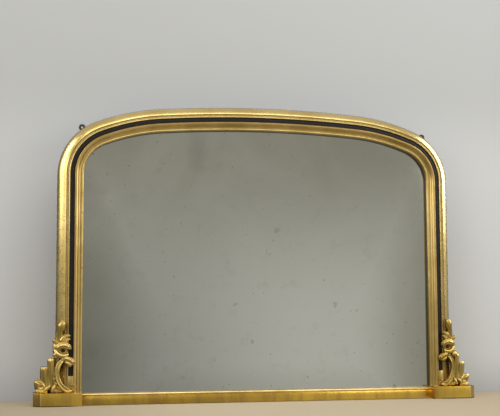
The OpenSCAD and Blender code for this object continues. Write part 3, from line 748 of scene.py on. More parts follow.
def sight_section(m):
    """The inner moulding: lip, ogee, quirk and sight bead."""
    steps, start = 9, -m.slip_width
    edge, r = start - m.sight_width, m.sight_bead
    low = m.lip - m.drop
    flat = (start - m.lip_flat, m.lip)
    foot = (edge + 2 * r + 0.001, low)
    half = ((flat[0] + foot[0]) / 2, (flat[1] + foot[1]) / 2)
    bend = 2 * math.atan2(m.drop, flat[0] - foot[0])
    rise = math.dist(flat, half) / 2 * math.tan(bend / 4)
    points = [(start, -m.carcass, 0.5), (start, -m.slip_recess, 0.8),
              (start, m.lip - 0.0005, -0.3), (start - 0.0005, m.lip, -0.7)]
    points += [(flat[0] + 0.0004, flat[1], -0.45)]
    round_over, hollow_out = arc(flat, half, -rise, steps), arc(half, foot, rise, steps)
    points += [(u, f, -0.25 + 0.3 * i / steps) for i, (u, f) in enumerate(round_over)]
    points += [(u, f, 0.05 + 0.20 * i / steps) for i, (u, f) in enumerate(hollow_out) if i]
    points += [(foot[0] - 0.001, low, 0.20), (foot[0] - 0.001, low - 0.0008, 0.28)]
    points += [(u, f, -0.4) for u, f in round_points((edge + r, low - 0.001), r, 12, 180, 14)]
    # Hollow values of 1.9 and 2.0 down the sight edge's inner wall paint it dark as shade.
    points += [(edge, low - 0.0065, 0.4), (edge, low - 0.009, 1.9), (edge, -m.glass, 2.0),
               (SIGHT_REBATE, -m.glass, 0.5), (SIGHT_REBATE, -m.carcass, 0.5)]
    return points


def arch_path(sizes, foot):
    """Points up the right stile, round the arch and down the left one, drawn in x and z."""
    hw, spring = sizes.half_width, sizes.spring
    a, b = sizes.shoulder_turn, sizes.haunch_turn
    shoulder = Vector((hw - sizes.shoulder, spring))
    haunch = shoulder + (sizes.shoulder - sizes.haunch) * Vector((math.cos(a), math.sin(a)))
    crown_r = sizes.haunch + haunch.x / math.cos(b)
    crown = Vector((0.0, haunch.y + (sizes.haunch - crown_r) * math.sin(b)))

    def sweep(centre, radius, first, last):
        count = max(2, round(radius * (last - first) / sizes.step))
        angles = [first + (last - first) * i / count for i in range(count + 1)]
        return [(centre.x + radius * math.cos(t), centre.y + radius * math.sin(t)) for t in angles]

    rings = max(2, round((spring - foot) / sizes.step))
    half = [(hw, foot + (spring - foot) * i / rings) for i in range(rings)]
    half += sweep(shoulder, sizes.shoulder, 0.0, a)[:-1]
    half += sweep(haunch, sizes.haunch, a, b)[:-1]
    half += sweep(crown, crown_r, b, math.pi / 2)[:-1]
    return half + [(0.0, crown.y + crown_r)] + [(-x, z) for x, z in reversed(half)]


def sweep_tree():
    """Sweeps a section along a path, then makes the surface a little uneven."""
    work, into, out = new_group(
        "GeometryNodeTree", "moulding_sweep",
        [("Path", SHAPE), ("Section", "NodeSocketObject"), ("Unevenness", NUMBER),
         ("Lump length", NUMBER), ("Seed", WHOLE), ("Finish", "NodeSocketMaterial")],
        [("Geometry", SHAPE)])
    path = work.add("GeometryNodeMeshToCurve", {0: into["Path"]}).outputs[0]
    path = work.add("GeometryNodeSetCurveNormal", {0: path}, mode="Z_UP").outputs[0]
    section = work.add("GeometryNodeObjectInfo", {"Object": into["Section"]}).outputs["Geometry"]
    section = work.add("GeometryNodeMeshToCurve", {0: section}).outputs[0]
    swept = work.add("GeometryNodeCurveToMesh", {"Curve": path, "Profile Curve": section,
                                                 "Fill Caps": True}).outputs[0]
    upright = work.add("GeometryNodeTransform", {"Geometry": swept}).outputs[0]
    upright.node.inputs["Rotation"].default_value = (math.radians(90), 0.0, 0.0)
    place = work.add("GeometryNodeInputPosition").outputs[0]
    scale = work.sum("DIVIDE", 1.0, into["Lump length"])
    wave = work.add("ShaderNodeTexNoise", {"Vector": place, "W": into["Seed"], "Scale": scale,
                                           "Detail": 2.0}, noise_dimensions="4D").outputs[0]
    push = work.times(work.less(wave, 0.55), into["Unevenness"])
    normal = work.add("GeometryNodeInputNormal").outputs[0]
    away = work.vector("SCALE", {0: normal, "Scale": push})[0]
    moved = work.add("GeometryNodeSetPosition", {"Geometry": upright, "Offset": away}).outputs[0]
    return close_shape(work, into, out, moved)


def set_inputs(modifier, values):
    for item in modifier.node_group.interface.items_tree:
        if item.in_out == "INPUT" and item.name in values:
            modifier[item.identifier] = values[item.name]


def store(mesh, name, values):
    """Stores a number on each point of a mesh."""
    stored = mesh.attributes.new(name, "FLOAT", "POINT")
    stored.data.foreach_set("value", np.array(values, np.float32))


def swept_moulding(name, section, foot, material, slot, nodes, seed=0, nudge=1.0):
    """Sweeps one moulding round the arch, from foot to foot."""
    scene = bpy.context.scene
    sizes, m = scene.overmantel_arch, scene.overmantel_mouldings
    ring = [(i, (i + 1) % len(section)) for i in range(len(section))]
    points = [(u, BEAD_FRONT - f, 0.0) for u, f, _ in section]
    profile = new_object(name + "_section", mesh_from(name + "_section", points, [], ring))
    store(profile.data, "across", [u for u, _, _ in section])
    store(profile.data, "hollow", [hollow for _, _, hollow in section])
    path = arch_path(sizes, foot)
    line = mesh_from(name, [(x, z, 0.0) for x, z in path], [],
                     [(i, i + 1) for i in range(len(path) - 1)])
    steps = np.linalg.norm(np.diff(np.array(path), axis=0), axis=1)
    store(line, "along", np.concatenate([[0.0], np.cumsum(steps)]))
    piece = new_object(name, line)
    modifier = piece.modifiers.new("sweep", "NODES")
    modifier.node_group = bpy.data.node_groups.get("moulding_sweep") or sweep_tree()
    set_inputs(modifier, {"Section": profile, "Unevenness": m.unevenness * nudge,
                          "Seed": m.seed + seed, "Lump length": m.lump, "Finish": material})
    bake(piece)
    bpy.data.objects.remove(profile)
    if len(piece.data.polygons) < 1000:
        raise RuntimeError(name + ": the section wasn't swept")
    set_on_frame(tidied(piece), nodes, material, slot)


def around(kind):
    """The CAD nodes of one moulding: three on each side and the crown."""
    lengths = ("_stile", "_shoulder", "_haunch")
    return [side + "_" + kind + part for side, _ in SIDES for part in lengths] + [kind + "_crown"]


# ---- Carving ----
# A stroke is a row of points (x, z, f, half width, height) in millimetres: x outwards from the
# arch line, z up from the plinth block and f forwards from the bead.


def leaf_cut(s):
    return math.sqrt(max(0.0, 1 - s * s)) * (1 - 0.24 * math.exp(-(s / 0.15) ** 2))


def band_cut(s):
    rim = 0.80 + 0.20 * min(1.0, abs(s) / 0.62) ** 2
    return rim * math.sqrt(max(0.0, 1 - abs(s) ** 5))


def round_cut(s):
    return math.sqrt(max(0.0, 1 - s * s))


def flute_cut(s):
    return math.sqrt(max(0.0, 1 - s * s)) * (0.91 + 0.09 * math.cos(math.pi * 3 * s))


def spline(points, count):
    """Evenly numbered points on a smooth curve through a stroke's points."""
    rows = np.array(points, float)
    rows = np.vstack([2 * rows[0] - rows[1], rows, 2 * rows[-1] - rows[-2]])
    out = []
    for i in range(1, len(rows) - 2):
        a, b, c, d = rows[i - 1:i + 3]
        for k in range(count):
            t = k / count
            out.append(0.5 * (2 * b + (c - a) * t + (2 * a - 5 * b + 4 * c - d) * t * t
                              + (3 * b - a - 3 * c + d) * t ** 3))
    out.append(rows[-2])
    rows = np.array(out)
    rows[:, 3:] = np.maximum(rows[:, 3:], 0.25)
    return rows


STROKE_STEPS = 7    # rings between two points of a stroke


def add_stroke(work, cut, back, points, lanes=16):
    """Adds a closed carved stroke whose front follows cut, and whose back is flat at back."""
    rows = spline(points, STROKE_STEPS)
    tangents = np.gradient(rows[:, :3], axis=0)
    rings = []
    for row, way in zip(rows, tangents):
        way = Vector(way).normalized()
        across = way.cross(Vector((0, 0, 1)))
        across = across.normalized() if across.length > 1e-4 else Vector((1, 0, 0))
        up = across.cross(way).normalized()
        up = up if up.z > 0 else -up
        middle, wide, high = Vector(row[:3]), row[3], row[4]
        ring = []
        for i in range(lanes + 1):
            s = -1 + 2 * i / lanes
            ring.append(middle + across * (s * wide) + up * (high * cut(s)))
        for s in (0.85, 0.0, -0.85):
            low = middle + across * (s * wide * 0.9)
            low.z = min(back, middle.z - 0.6) + 0.3 * abs(s)
            ring.append(low)
        rings.append([work.verts.new((p.x * MM, -p.z * MM, p.y * MM)) for p in ring])
    size = len(rings[0])
    for one, two in zip(rings, rings[1:]):
        for i in range(size):
            work.faces.new((one[i], one[(i + 1) % size], two[(i + 1) % size], two[i]))
    for ring, turned in ((rings[0], False), (rings[-1], True)):
        centre = work.verts.new(sum((v.co for v in ring), Vector()) / size)
        for i in range(size):
            pair = (ring[i], ring[(i + 1) % size])
            work.faces.new((*(pair if turned else pair[::-1]), centre))


def add_boss(work, x, z, f, rx, rz, rf, turn=0.0):
    """Adds a rounded boss."""
    place = Matrix.Translation((x * MM, -f * MM, z * MM))
    place = place @ Matrix.Rotation(math.radians(turn), 4, "Y")
    place = place @ Matrix.Diagonal((rx * MM, rf * MM, rz * MM, 1.0))
    bmesh.ops.create_uvsphere(work, u_segments=20, v_segments=12, radius=1.0, matrix=place)


def scroll_strokes(work):
    add_stroke(work, band_cut, 3.6, [
        (12, 112, 10, 5, 6), (22, 106, 13, 7.5, 9), (30, 95, 14.5, 8.4, 10),
        (35, 81, 14.5, 8.6, 10.5), (36.3, 66, 14, 8.6, 10.5), (34.2, 50, 14, 8.6, 10.5),
        (28.8, 35, 14.5, 8.8, 11), (19.5, 21.5, 15.5, 9, 11.5), (9, 12.5, 16, 9.2, 11.5),
        (-2, 9, 14, 8, 9), (-8, 9.5, 10, 4, 5)])
    add_boss(work, -1.5, 102.5, 9, 17, 15.5, 15)
    add_stroke(work, flute_cut, 3.6, [
        (21, 110, 11, 7, 8), (11, 113.5, 15.5, 9, 10), (-1, 111.5, 18, 9.5, 10.5),
        (-11, 104, 16.5, 9, 9.5), (-16, 95, 12, 6, 6)])
    add_stroke(work, round_cut, 3.6, [
        (9, 104, 14, 6, 8), (1, 97, 16, 8, 9.5), (-7, 91, 13, 6.5, 7.5)])
    add_stroke(work, round_cut, -16, [
        (45, 118, 2, 6, 8), (48.5, 104, 2, 8, 10), (50, 88, 2, 9, 11), (49, 70, 2, 9, 11),
        (46, 52, 2.5, 9, 11), (41, 34, 4, 9.5, 11.5), (33, 18, 6, 9.5, 11), (23, 7, 8, 7, 8),
        (15, 3, 8, 3, 4)])
    for x, z, turn in ((43.5, 62, 78), (42, 47, 70), (37, 32, 58), (28, 18.5, 42)):
        add_boss(work, x, z, 16.5, 3.0, 6.0, 5.5, turn - 90)
    add_stroke(work, leaf_cut, -4, [
        (30, 7, 10, 5, 6), (39, 9, 14, 5.5, 6.5), (47, 14, 16, 5, 6), (52, 21, 14, 2.4, 3)])
    add_stroke(work, round_cut, 3.6, [
        (13, 6, 14, 5, 6), (3, 5, 18, 6, 6.5), (-6, 6, 16, 5, 5.5), (-12, 9, 11, 3, 3)])


def bud_strokes(work):
    add_boss(work, 25, 143, 1, 25, 25, 13)
    add_stroke(work, round_cut, -14, [
        (41, 167, 2, 7, 9), (41.5, 155, 4, 9, 11), (41, 141, 6, 9.5, 12), (38.5, 129, 8, 9.5, 12),
        (33, 119, 9, 9, 10)])
    add_stroke(work, flute_cut, 3.6, [
        (37, 140, 9, 6, 8), (36.5, 149, 13, 10, 11.5), (29, 156, 15.5, 12, 13),
        (17, 158.5, 16.5, 12.6, 12.8), (6, 156, 16.5, 11.5, 12), (-2, 150, 12.5, 8, 9),
        (-5.5, 145, 9, 4, 5)])
    add_stroke(work, round_cut, 3.6, [
        (42, 146, 8, 7, 9), (39, 134, 13, 8.5, 10), (30, 125.5, 16, 8.8, 10),
        (19, 122.5, 17, 8.2, 9.5), (9, 124.5, 16, 6.5, 7.5), (2, 129.5, 13, 4, 5)])
    add_boss(work, 42, 121, 9, 9, 9, 12)
    add_stroke(work, round_cut, 6, [
        (36, 124, 16, 3, 4), (41, 128, 19, 4.2, 4.5), (46.5, 126, 17, 4.2, 4.5),
        (48, 120, 13, 3, 3)])
    add_boss(work, 5, 126, 14, 5.5, 5, 7.5)


def crest_strokes(work):
    add_stroke(work, leaf_cut, 3.6, [
        (27, 164, 5, 14, 10), (28, 178, 6, 12, 10), (28.5, 192, 8, 10.5, 10),
        (28, 204, 10.5, 10, 10.5), (25.5, 214, 12, 12, 12), (22.5, 223, 14, 13.5, 12),
        (18.5, 231, 15, 10, 10), (15, 236, 14, 5.5, 6), (13, 238, 13, 2, 2.5)])
    add_boss(work, 22, 221.5, 10.5, 13.5, 18.5, 15)
    add_stroke(work, leaf_cut, 3.6, [
        (22, 172, 9, 10, 10), (15.5, 182, 11, 9.5, 10), (8, 188, 13.5, 7.5, 8.5),
        (1, 190, 15, 5, 6), (-5, 188.5, 14, 2, 2.5)])
    add_stroke(work, leaf_cut, 3.6, [
        (16, 166, 9, 9, 9), (8.5, 173, 12, 7.5, 8), (1, 178, 13, 5, 5.5), (-5, 177, 12, 2, 2)])
    add_stroke(work, leaf_cut, -12, [
        (36, 166, 3, 9, 10), (35, 184, 4, 8, 10), (34, 199, 6, 6.5, 9), (33, 210, 8, 4, 6)])
    add_stroke(work, leaf_cut, 2, [
        (38, 166, 8, 8, 8), (44, 171, 11.5, 6.5, 7.5), (49.5, 175.5, 13, 4.4, 5),
        (53.5, 177.5, 13, 1.8, 2)])


def leafage_strokes(work):
    add_stroke(work, flute_cut, -23, [
        (52, 2, 0, 12, 12), (53, 30, 1, 12, 13), (54, 60, 3, 12, 13), (55, 84, 6, 11.5, 12.5),
        (55.5, 100, 9, 12, 11.5), (56, 109, 10, 11.5, 10), (56.5, 114, 8, 9, 6)])
    add_stroke(work, flute_cut, -23, [
        (64, 2, 0, 13, 12), (71, 30, 1, 15, 13), (75, 52, 4, 14.5, 13), (76.5, 68, 8, 13.5, 12),
        (77, 80, 11, 12.5, 10), (77.5, 87, 11, 10, 7)])
    add_stroke(work, flute_cut, -23, [
        (62, 2, 0, 12, 12), (76, 14, 1, 16, 13.5), (88, 25, 3.5, 17, 13.5), (97, 32, 6.5, 15, 12),
        (103, 36, 8.5, 10.5, 9), (107, 38, 8.5, 5, 5)])
    add_boss(work, 86, 22, 4, 19, 18, 13)
    add_stroke(work, round_cut, -10, [
        (60, 3, 8, 6, 7), (72, 5, 12, 6, 7), (85, 6, 14, 6, 7), (96, 7.5, 13, 5.5, 6),
        (103, 10, 11, 3, 3.5)])
    add_stroke(work, leaf_cut, -8, [
        (80, 6, 13, 4, 4.5), (72, 12, 18, 5, 5.5), (64, 19, 19.5, 5, 5.5), (57, 26, 17, 2.6, 3.2)])
    add_stroke(work, leaf_cut, -6, [
        (57, 6, 14, 5, 6), (49, 13, 18, 6, 6.5), (44, 22, 17.5, 5, 5.5), (42.5, 30, 15, 2, 2.4)])
    add_boss(work, 61, 32, -5, 18, 40, 18)
    add_boss(work, 82, 20, -6, 25, 20, 18)
    add_boss(work, 56, 66, -5, 12, 46, 16)
    add_boss(work, 66, 56, -5, 14, 24, 17)


def foot_strokes(work):
    heart, squeeze = (-14.2, 12), 0.52
    for angle, reach in ((90, 22), (62, 20), (118, 20), (34, 12), (146, 12)):
        way = (math.cos(math.radians(angle)), math.sin(math.radians(angle)))
        at = [(heart[0] + way[0] * t * squeeze, heart[1] + way[1] * t)
              for t in (0, reach * 0.5, reach * 0.85, reach)]
        rows = ((3.6, 2.2, 3), (6, 3.0, 4), (8, 2.2, 2.8), (8, 0.9, 1.1))
        add_stroke(work, round_cut, 3.1, [(*p, *row) for p, row in zip(at, rows)], lanes=12)
    add_boss(work, heart[0], 10, 5, 5, 4.4, 4.4)


CARVINGS = (("scroll", scroll_strokes), ("bud", bud_strokes), ("crest_leaf", crest_strokes),
            ("leafage", leafage_strokes), ("foot_leaf", foot_strokes))

# Hollows pressed into the front: x, z, half width, half height, floor and rim, in millimetres
PITS = {"bud": ((18, 139.5, 10.5, 6.4, 1.0, 19.0),),
        "leafage": ((88, 22, 11, 9, 13.0, 17.0), (60.5, 5, 4.5, 6.5, -8.0, 9.0))}

# The right bud's larger outer bulb, as add_boss takes it
RIGHT_BULB = (43, 113, 15, 13, 12, 14)

DRAWN_HEIGHT = 0.240    # height at which the strokes are drawn
NARROW_FROM = 0.635     # x from which the right carving is drawn narrower
FOOT_FINENESS = 0.55    # the small foot leaf's detail against the others'
CARVING_LOW = (0.5968, -0.0458, 0.0421)    # the solids' box, which the carvings stay in
CARVING_FAR, CARVING_BACK, CARVING_TOP = 0.7495, 0.046, 0.2402


def pressed(co, pits, tall):
    """Presses bowl-shaped hollows into a carving's front, as a gouge does."""
    for x, z, wide, high, floor, rim in pits:
        across = (co[:, 0] - ARCH_LINE - x * MM) / (wide * MM)
        up = ((co[:, 2] - BLOCK_TOP) / tall - z * MM) / (high * MM)
        reach = np.sqrt(across ** 2 + up ** 2)
        face = BEAD_FRONT - (floor + (rim - floor) * np.clip(reach, 0, 1) ** 2) * MM
        co[:, 1] = np.where((reach < 1) & (co[:, 1] < face), face, co[:, 1])
    return co


def neighbour_mean(values, edges, count):
    """The mean of each vertex's neighbours."""
    total = np.zeros_like(values)
    np.add.at(total, edges[:, 0], values[edges[:, 1]])
    np.add.at(total, edges[:, 1], values[edges[:, 0]])
    return total / np.maximum(count, 1)[:, None]


def relaxed(values, edges, count, rounds, share):
    """Draws each vertex's values towards its neighbours' by a share, some rounds over."""
    for _ in range(rounds):
        values = (1 - share) * values + share * neighbour_mean(values, edges, count)
    return values


def mesh_arrays(mesh):
    co = np.empty(len(mesh.vertices) * 3)
    mesh.vertices.foreach_get("co", co)
    edges = np.empty(len(mesh.edges) * 2, int)
    mesh.edges.foreach_get("vertices", edges)
    edges = edges.reshape(-1, 2)
    count = np.bincount(edges.ravel(), minlength=len(mesh.vertices)).astype(float)
    normals = np.array([v.normal for v in mesh.vertices])
    return co.reshape(-1, 3), edges, count, normals


def mark_hollows(mesh):
    """Stores how deep each point lies in the relief, which the rubbing and the darkening by dirt
    and painted shade follow.
    """
    rounds, full_depth = 14, 0.0011
    co, edges, count, normals = mesh_arrays(mesh)
    smooth = relaxed(co, edges, count, rounds, 0.65)
    depth = ((smooth - co) * normals).sum(1)[:, None]
    depth = relaxed(depth, edges, count, 3, 0.5)
    store(mesh, "hollow", np.clip(depth[:, 0] / full_depth, -1, 1))


def tool_marks(co, hand):
    """How far the carver's tool marks push each point, from a coarse and a fine noise."""
    coarse, fine, fine_share = 160, 420, 0.6
    shift = Vector((3.1, 0.7, 5.3)) if hand < 0 else Vector((0.0, 0.0, 0.0))
    return np.array([noise.noise(Vector(p) * coarse + shift)
                     + fine_share * noise.noise(Vector(p) * fine + shift) for p in co])


def carved(name, part, strokes, hand, sizes):
    """Joins strokes into one carved solid, softens it as gesso does and adds tool marks."""
    tall = sizes.height / DRAWN_HEIGHT
    mesh = bpy.data.meshes.new(name)
    with shaping(mesh) as work:
        strokes(work)
        if part == "bud" and hand > 0:
            add_boss(work, *RIGHT_BULB)
        bmesh.ops.recalc_face_normals(work, faces=work.faces)
    mesh.transform(Matrix.Translation((ARCH_LINE, BEAD_FRONT, BLOCK_TOP))
                   @ Matrix.Diagonal((1.0, 1.0, tall, 1.0)))
    piece = new_object(name, mesh)
    remesh = piece.modifiers.new("joined", "REMESH")
    remesh.mode = "VOXEL"
    remesh.voxel_size = sizes.grain * (FOOT_FINENESS if part == "foot_leaf" else 1.0)
    smooth = piece.modifiers.new("gesso", "SMOOTH")
    smooth.factor, smooth.iterations = 0.5, sizes.soften
    bake(piece)
    co, edges, count, normals = mesh_arrays(piece.data)
    if part in PITS:
        co = relaxed(pressed(co, PITS[part], tall), edges, count, 4, 0.5)
    co = co + normals * (tool_marks(co, hand) * sizes.veins)[:, None]
    co = np.clip(co, CARVING_LOW, (CARVING_FAR, CARVING_BACK, BLOCK_TOP + CARVING_TOP * tall))
    out = co[:, 0] - NARROW_FROM
    wide = sizes.right if hand > 0 else 1.0
    co[:, 0] = hand * (NARROW_FROM + np.where(out > 0, out * wide, out))
    piece.data.vertices.foreach_set("co", co.ravel())
    if hand < 0:
        piece.data.flip_normals()
    piece.data.update()
    mark_hollows(piece.data)
    for polygon in piece.data.polygons:
        polygon.use_smooth = True
    return piece


# ---- Fixings ----

FULL_TURN = 6.2832


def lathe(work, outline, sides):
    """Turns (radius, y) points round the y axis into a closed solid."""
    rings = []
    for r, y in outline:
        turns = [2 * math.pi * i / sides for i in range(sides)]
        rings.append([work.verts.new((r * math.cos(t), y, r * math.sin(t))) for t in turns])
    for one, two in zip(rings, rings[1:]):
        for i in range(sides):
            work.faces.new((one[i], one[(i + 1) % sides], two[(i + 1) % sides], two[i]))
    work.faces.new(rings[0])
    work.faces.new(rings[-1][::-1])
    bmesh.ops.recalc_face_normals(work, faces=work.faces)


def fixing(name, outline, sides, slot_width=0.0):
    """A nail or screw whose head looks towards +y, cut with a slot if it has one."""
    mesh = bpy.data.meshes.new(name)
    with shaping(mesh) as work:
        lathe(work, outline, sides)
    piece = new_object(name, mesh)
    if slot_width:
        tool = new_object(name + "_slot", bpy.data.meshes.new(name + "_slot"))
        with shaping(tool.data) as cut:
            bmesh.ops.create_cube(cut, size=1.0,
                                  matrix=Matrix.Diagonal((0.03, 0.0018, slot_width, 1.0)))
        boolean = piece.modifiers.new("slot", "BOOLEAN")
        boolean.operation, boolean.object, boolean.solver = "DIFFERENCE", tool, "EXACT"
        bake(piece)
        bpy.data.objects.remove(tool)
    return tidied(piece, 30.0)


def scatter_tree():
    """Sets a copy of a fixing on each point, turned at random about its own length."""
    work, into, out = new_group(
        "GeometryNodeTree", "fixings",
        [("Places", SHAPE), ("Fixing", "NodeSocketObject"), ("Size spread", NUMBER),
         ("Seed", WHOLE), ("Finish", "NodeSocketMaterial")], [("Geometry", SHAPE)])
    fixed = work.add("GeometryNodeObjectInfo", {"Object": into["Fixing"], "As Instance": True})
    spin = work.add("FunctionNodeRandomValue", {2: 0.0, 3: FULL_TURN, 8: into["Seed"]},
                    data_type="FLOAT")
    turn = work.add("ShaderNodeCombineXYZ", {1: spin.outputs[1]}).outputs[0]
    low = work.less(1.0, into["Size spread"])
    size = work.add("FunctionNodeRandomValue",
                    {2: low, 3: 1.0, 8: work.sum("ADD", into["Seed"], 1.0)},
                    data_type="FLOAT").outputs[1]
    placed = work.add("GeometryNodeInstanceOnPoints",
                      {"Points": into["Places"], "Instance": fixed.outputs["Geometry"],
                       "Rotation": turn, "Scale": size}).outputs[0]
    return close_shape(work, into, out, placed)


def fixing_size(node):
    """Radius of the head and the length of the fixings in a CAD node."""
    low, high = solids(node)[0]
    return (high[0] - low[0]) / 2, high[1] - low[1]


def scattered(name, model, node, material, seed, spread=0.0):
    """Sets a fixing at the head of each solid in a CAD node."""
    places = [((a[0] + b[0]) / 2, b[1], (a[2] + b[2]) / 2) for a, b in solids(node)]
    piece = new_object(name, mesh_from(name, places, []))
    modifier = piece.modifiers.new("places", "NODES")
    modifier.node_group = bpy.data.node_groups.get("fixings") or scatter_tree()
    set_inputs(modifier, {"Fixing": model, "Seed": seed, "Size spread": spread,
                          "Finish": material})
    bake(piece)
    bpy.data.objects.remove(model)
    if not len(piece.data.polygons):
        raise RuntimeError(name + ": no fixing was set")
    set_on_frame(piece, [node], material, "steel_screw")


# ---- Operators ----

class OBJECT_OT_overmantel_mouldings(bpy.types.Operator):
    """Sweeps the outer moulding, the ebonised slip and the sight moulding round the arch"""
    bl_idname = "object.overmantel_mouldings"
    bl_label = "Mouldings"

    def execute(self, context):
        m, finish = context.scene.overmantel_mouldings, finishes()
        swept_moulding("gilt_outer_moulding", outer_section(m), m.foot, finish["gilt_outer"],
                       "gilt", around("outer"))
        swept_moulding("ebonised_slip", slip_section(m), m.slip_foot, finish["ebonised_finish"],
                       "ebonised", around("slip"), seed=3, nudge=0.4)
        swept_moulding("gilt_sight_moulding", sight_section(m), m.foot, finish["gilt_sight"],
                       "gilt", around("sight"), seed=5, nudge=0.12)
        return {"FINISHED"}


class OBJECT_OT_overmantel_base(bpy.types.Operator):
    """Eases the edges of the plinth blocks, bottom rail and stile feet and gilds them"""
    bl_idname = "object.overmantel_base"
    bl_label = "Base"

    def execute(self, context):
        finish = finishes()
        for side, _ in SIDES:
            soften("gilt_" + side + "_plinth", side + "_plinth_block", finish["gilt_base"],
                   "gilt", 0.0014, 3)
            soften("gilt_" + side + "_stile_foot", side + "_stile_foot", finish["gilt_sight"],
                   "gilt", 0.0008)
        soften("gilt_bottom_rail", "bottom_rail", finish["gilt_base"], "gilt", 0.0008)
        soften("gilt_rail_bead", "rail_bead", finish["gilt_bead"], "gilt", 0.0004)
        return {"FINISHED"}


class OBJECT_OT_overmantel_carvings(bpy.types.Operator):
    """Carves the scroll, bud, crest, leafage and foot leaf at each corner"""
    bl_idname = "object.overmantel_carvings"
    bl_label = "Carvings"

    def execute(self, context):
        sizes, gilt = context.scene.overmantel_carving, finishes()["gilt_carving"]
        for part, strokes in CARVINGS:
            for side, hand in SIDES:
                node = side + "_" + part
                piece = carved("gilt_" + node, part, strokes, hand, sizes)
                set_on_frame(piece, [node], gilt, "gilt")
        return {"FINISHED"}


class OBJECT_OT_overmantel_plate(bpy.types.Operator):
    """Gives the mirror plate its aged silvering"""
    bl_idname = "object.overmantel_plate"
    bl_label = "Mirror plate"

    def execute(self, context):
        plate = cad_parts["mirror_plate"]
        plate.data.materials.clear()
        plate.data.materials.append(finishes()["aged_silvering"])
        return {"FINISHED"}


# Finish, slot, radius of the eased edges and CAD nodes of the woodwork
WOODWORK = (
    ("pine_up", "pine", 0.0007, ("left_stile_core", "right_stile_core", "left_shoulder_core",
                                 "right_shoulder_core")),
    ("pine_across", "pine", 0.0007, ("head_core", "cross_rail")),
    ("pine_up", "pine", 0.0003, ("carcass_tongues", "setting_blocks")),
    ("pine_up", "pine", 0.0005, ("glazing_blocks",)),
    ("backboard_pine", "softwood", 0.0006, ("backboard_1", "backboard_2", "backboard_3",
                                            "backboard_4")))


class OBJECT_OT_overmantel_woodwork(bpy.types.Operator):
    """Makes the pine carcass, backboards and blocks behind the gilding"""
    bl_idname = "object.overmantel_woodwork"
    bl_label = "Woodwork"

    def execute(self, context):
        for finish, slot, radius, nodes in WOODWORK:
            for node in nodes:
                soften("pine_" + node, node, finishes()[finish], slot, radius)
        return {"FINISHED"}


class OBJECT_OT_overmantel_hangers(bpy.types.Operator):
    """Finishes the iron hanging plates"""
    bl_idname = "object.overmantel_hangers"
    bl_label = "Hangers"

    def execute(self, context):
        for side, _ in SIDES:
            soften("iron_" + side + "_hanger", side + "_hanger", finishes()["blackened_iron"],
                   "dark_iron", 0.0004)
        return {"FINISHED"}


class OBJECT_OT_overmantel_fixings(bpy.types.Operator):
    """Sets the screws and nails in the back"""
    bl_idname = "object.overmantel_fixings"
    bl_label = "Screws and nails"

    def execute(self, context):
        finish = finishes()
        for name, node, seed in (("hanger_screw_set", "hanger_screws", 11),
                                 ("block_screw_set", "block_screws", 23)):
            head, deep = fixing_size(node)
            outline = [(head * 0.9, 0.0), (head, -0.0003), (head, -0.0007),
                       (head * 0.5, -head * 0.8), (head * 0.48, -deep)]
            scattered(name, fixing("screw", outline, 28, 0.0015), node, finish["screw_steel"],
                      seed)
        head, deep = fixing_size("backboard_nails")
        outline = [(head * 0.45, 0.0), (head * 0.8, -0.00018), (head, -0.0005),
                   (head * 0.92, -0.0008), (head * 0.42, -0.0009), (head * 0.40, -deep)]
        scattered("nail_set", fixing("nail", outline, 14), "backboard_nails",
                  finish["nail_iron"], 31, 0.08)
        return {"FINISHED"}


# ---- Stage ----

def flat_stage(name, points, material):
    piece = new_object(name, mesh_from(name, points, [(0, 1, 2, 3)]))
    piece.data.materials.append(material)


def stage_material(name, paint, clear):
    """A plain matt surface that some rays pass, so that it doesn't crowd the mirror or the back."""
    material, work = empty_material(name)
    matt = work.add("ShaderNodeBsdfDiffuse", {"Color": paint(work, object_place(work))})
    open_air = work.add("ShaderNodeBsdfTransparent")
    share = clear(work, work.add("ShaderNodeLightPath").outputs)
    mixed = work.add("ShaderNodeMixShader",
                     {0: share, 1: matt.outputs[0], 2: open_air.outputs[0]}).outputs[0]
    work.add("ShaderNodeOutputMaterial", {0: mixed})
    return material


def floor_material(studio):
    """The floor, painted a little darker on the left as shade, which the gilding and the mirror
    don't show.
    """
    def paint(work, place):
        # Painted shade: darker towards the left.
        share = work.between(work.axes(place)[0], -0.75, -0.2)
        return work.mix(share, [0.82 * c for c in studio.floor], studio.floor)

    return stage_material("plain_floor", paint, lambda work, ray: ray["Is Glossy Ray"])


def wall_material(studio):
    """The wall, with painted shade darker at the left, near the floor and at the top, and seen only
    by the camera from in front.
    """
    def paint(work, place):
        x, _, z = work.axes(place)
        # Painted shade: darker towards the left, near the floor and at the top.
        tint = work.mix(work.between(x, -0.9, 1.1), studio.wall_left_shade, studio.wall)
        tint = work.mix(work.between(z, 0.16, -0.05, 0.0, 0.5), tint,
                        [0.5 * c for c in studio.wall_left_shade])
        return work.mix(work.between(z, 0.75, 1.15, 0.0, 0.36), tint, (0.30, 0.305, 0.29))

    def clear(work, ray):
        behind = work.add("ShaderNodeNewGeometry").outputs["Backfacing"]
        unseen = work.less(1.0, ray["Is Camera Ray"])
        return work.most(behind, unseen)

    return stage_material("plain_wall", paint, clear)


def area_lamp(name, place, target, size, height, energy, only_gloss=False):
    """A softbox, or with only_gloss a card that shows in the gilding and doesn't light the wall."""
    lamp = bpy.data.lights.new(name, "AREA")
    lamp.shape, lamp.size, lamp.size_y, lamp.energy = "RECTANGLE", size, height, energy
    holder = bpy.data.objects.new(name, lamp)
    holder.location = place
    holder.rotation_euler = (Vector(target) - Vector(place)).to_track_quat("-Z", "Y").to_euler()
    holder.visible_diffuse = not only_gloss
    bpy.context.scene.collection.objects.link(holder)


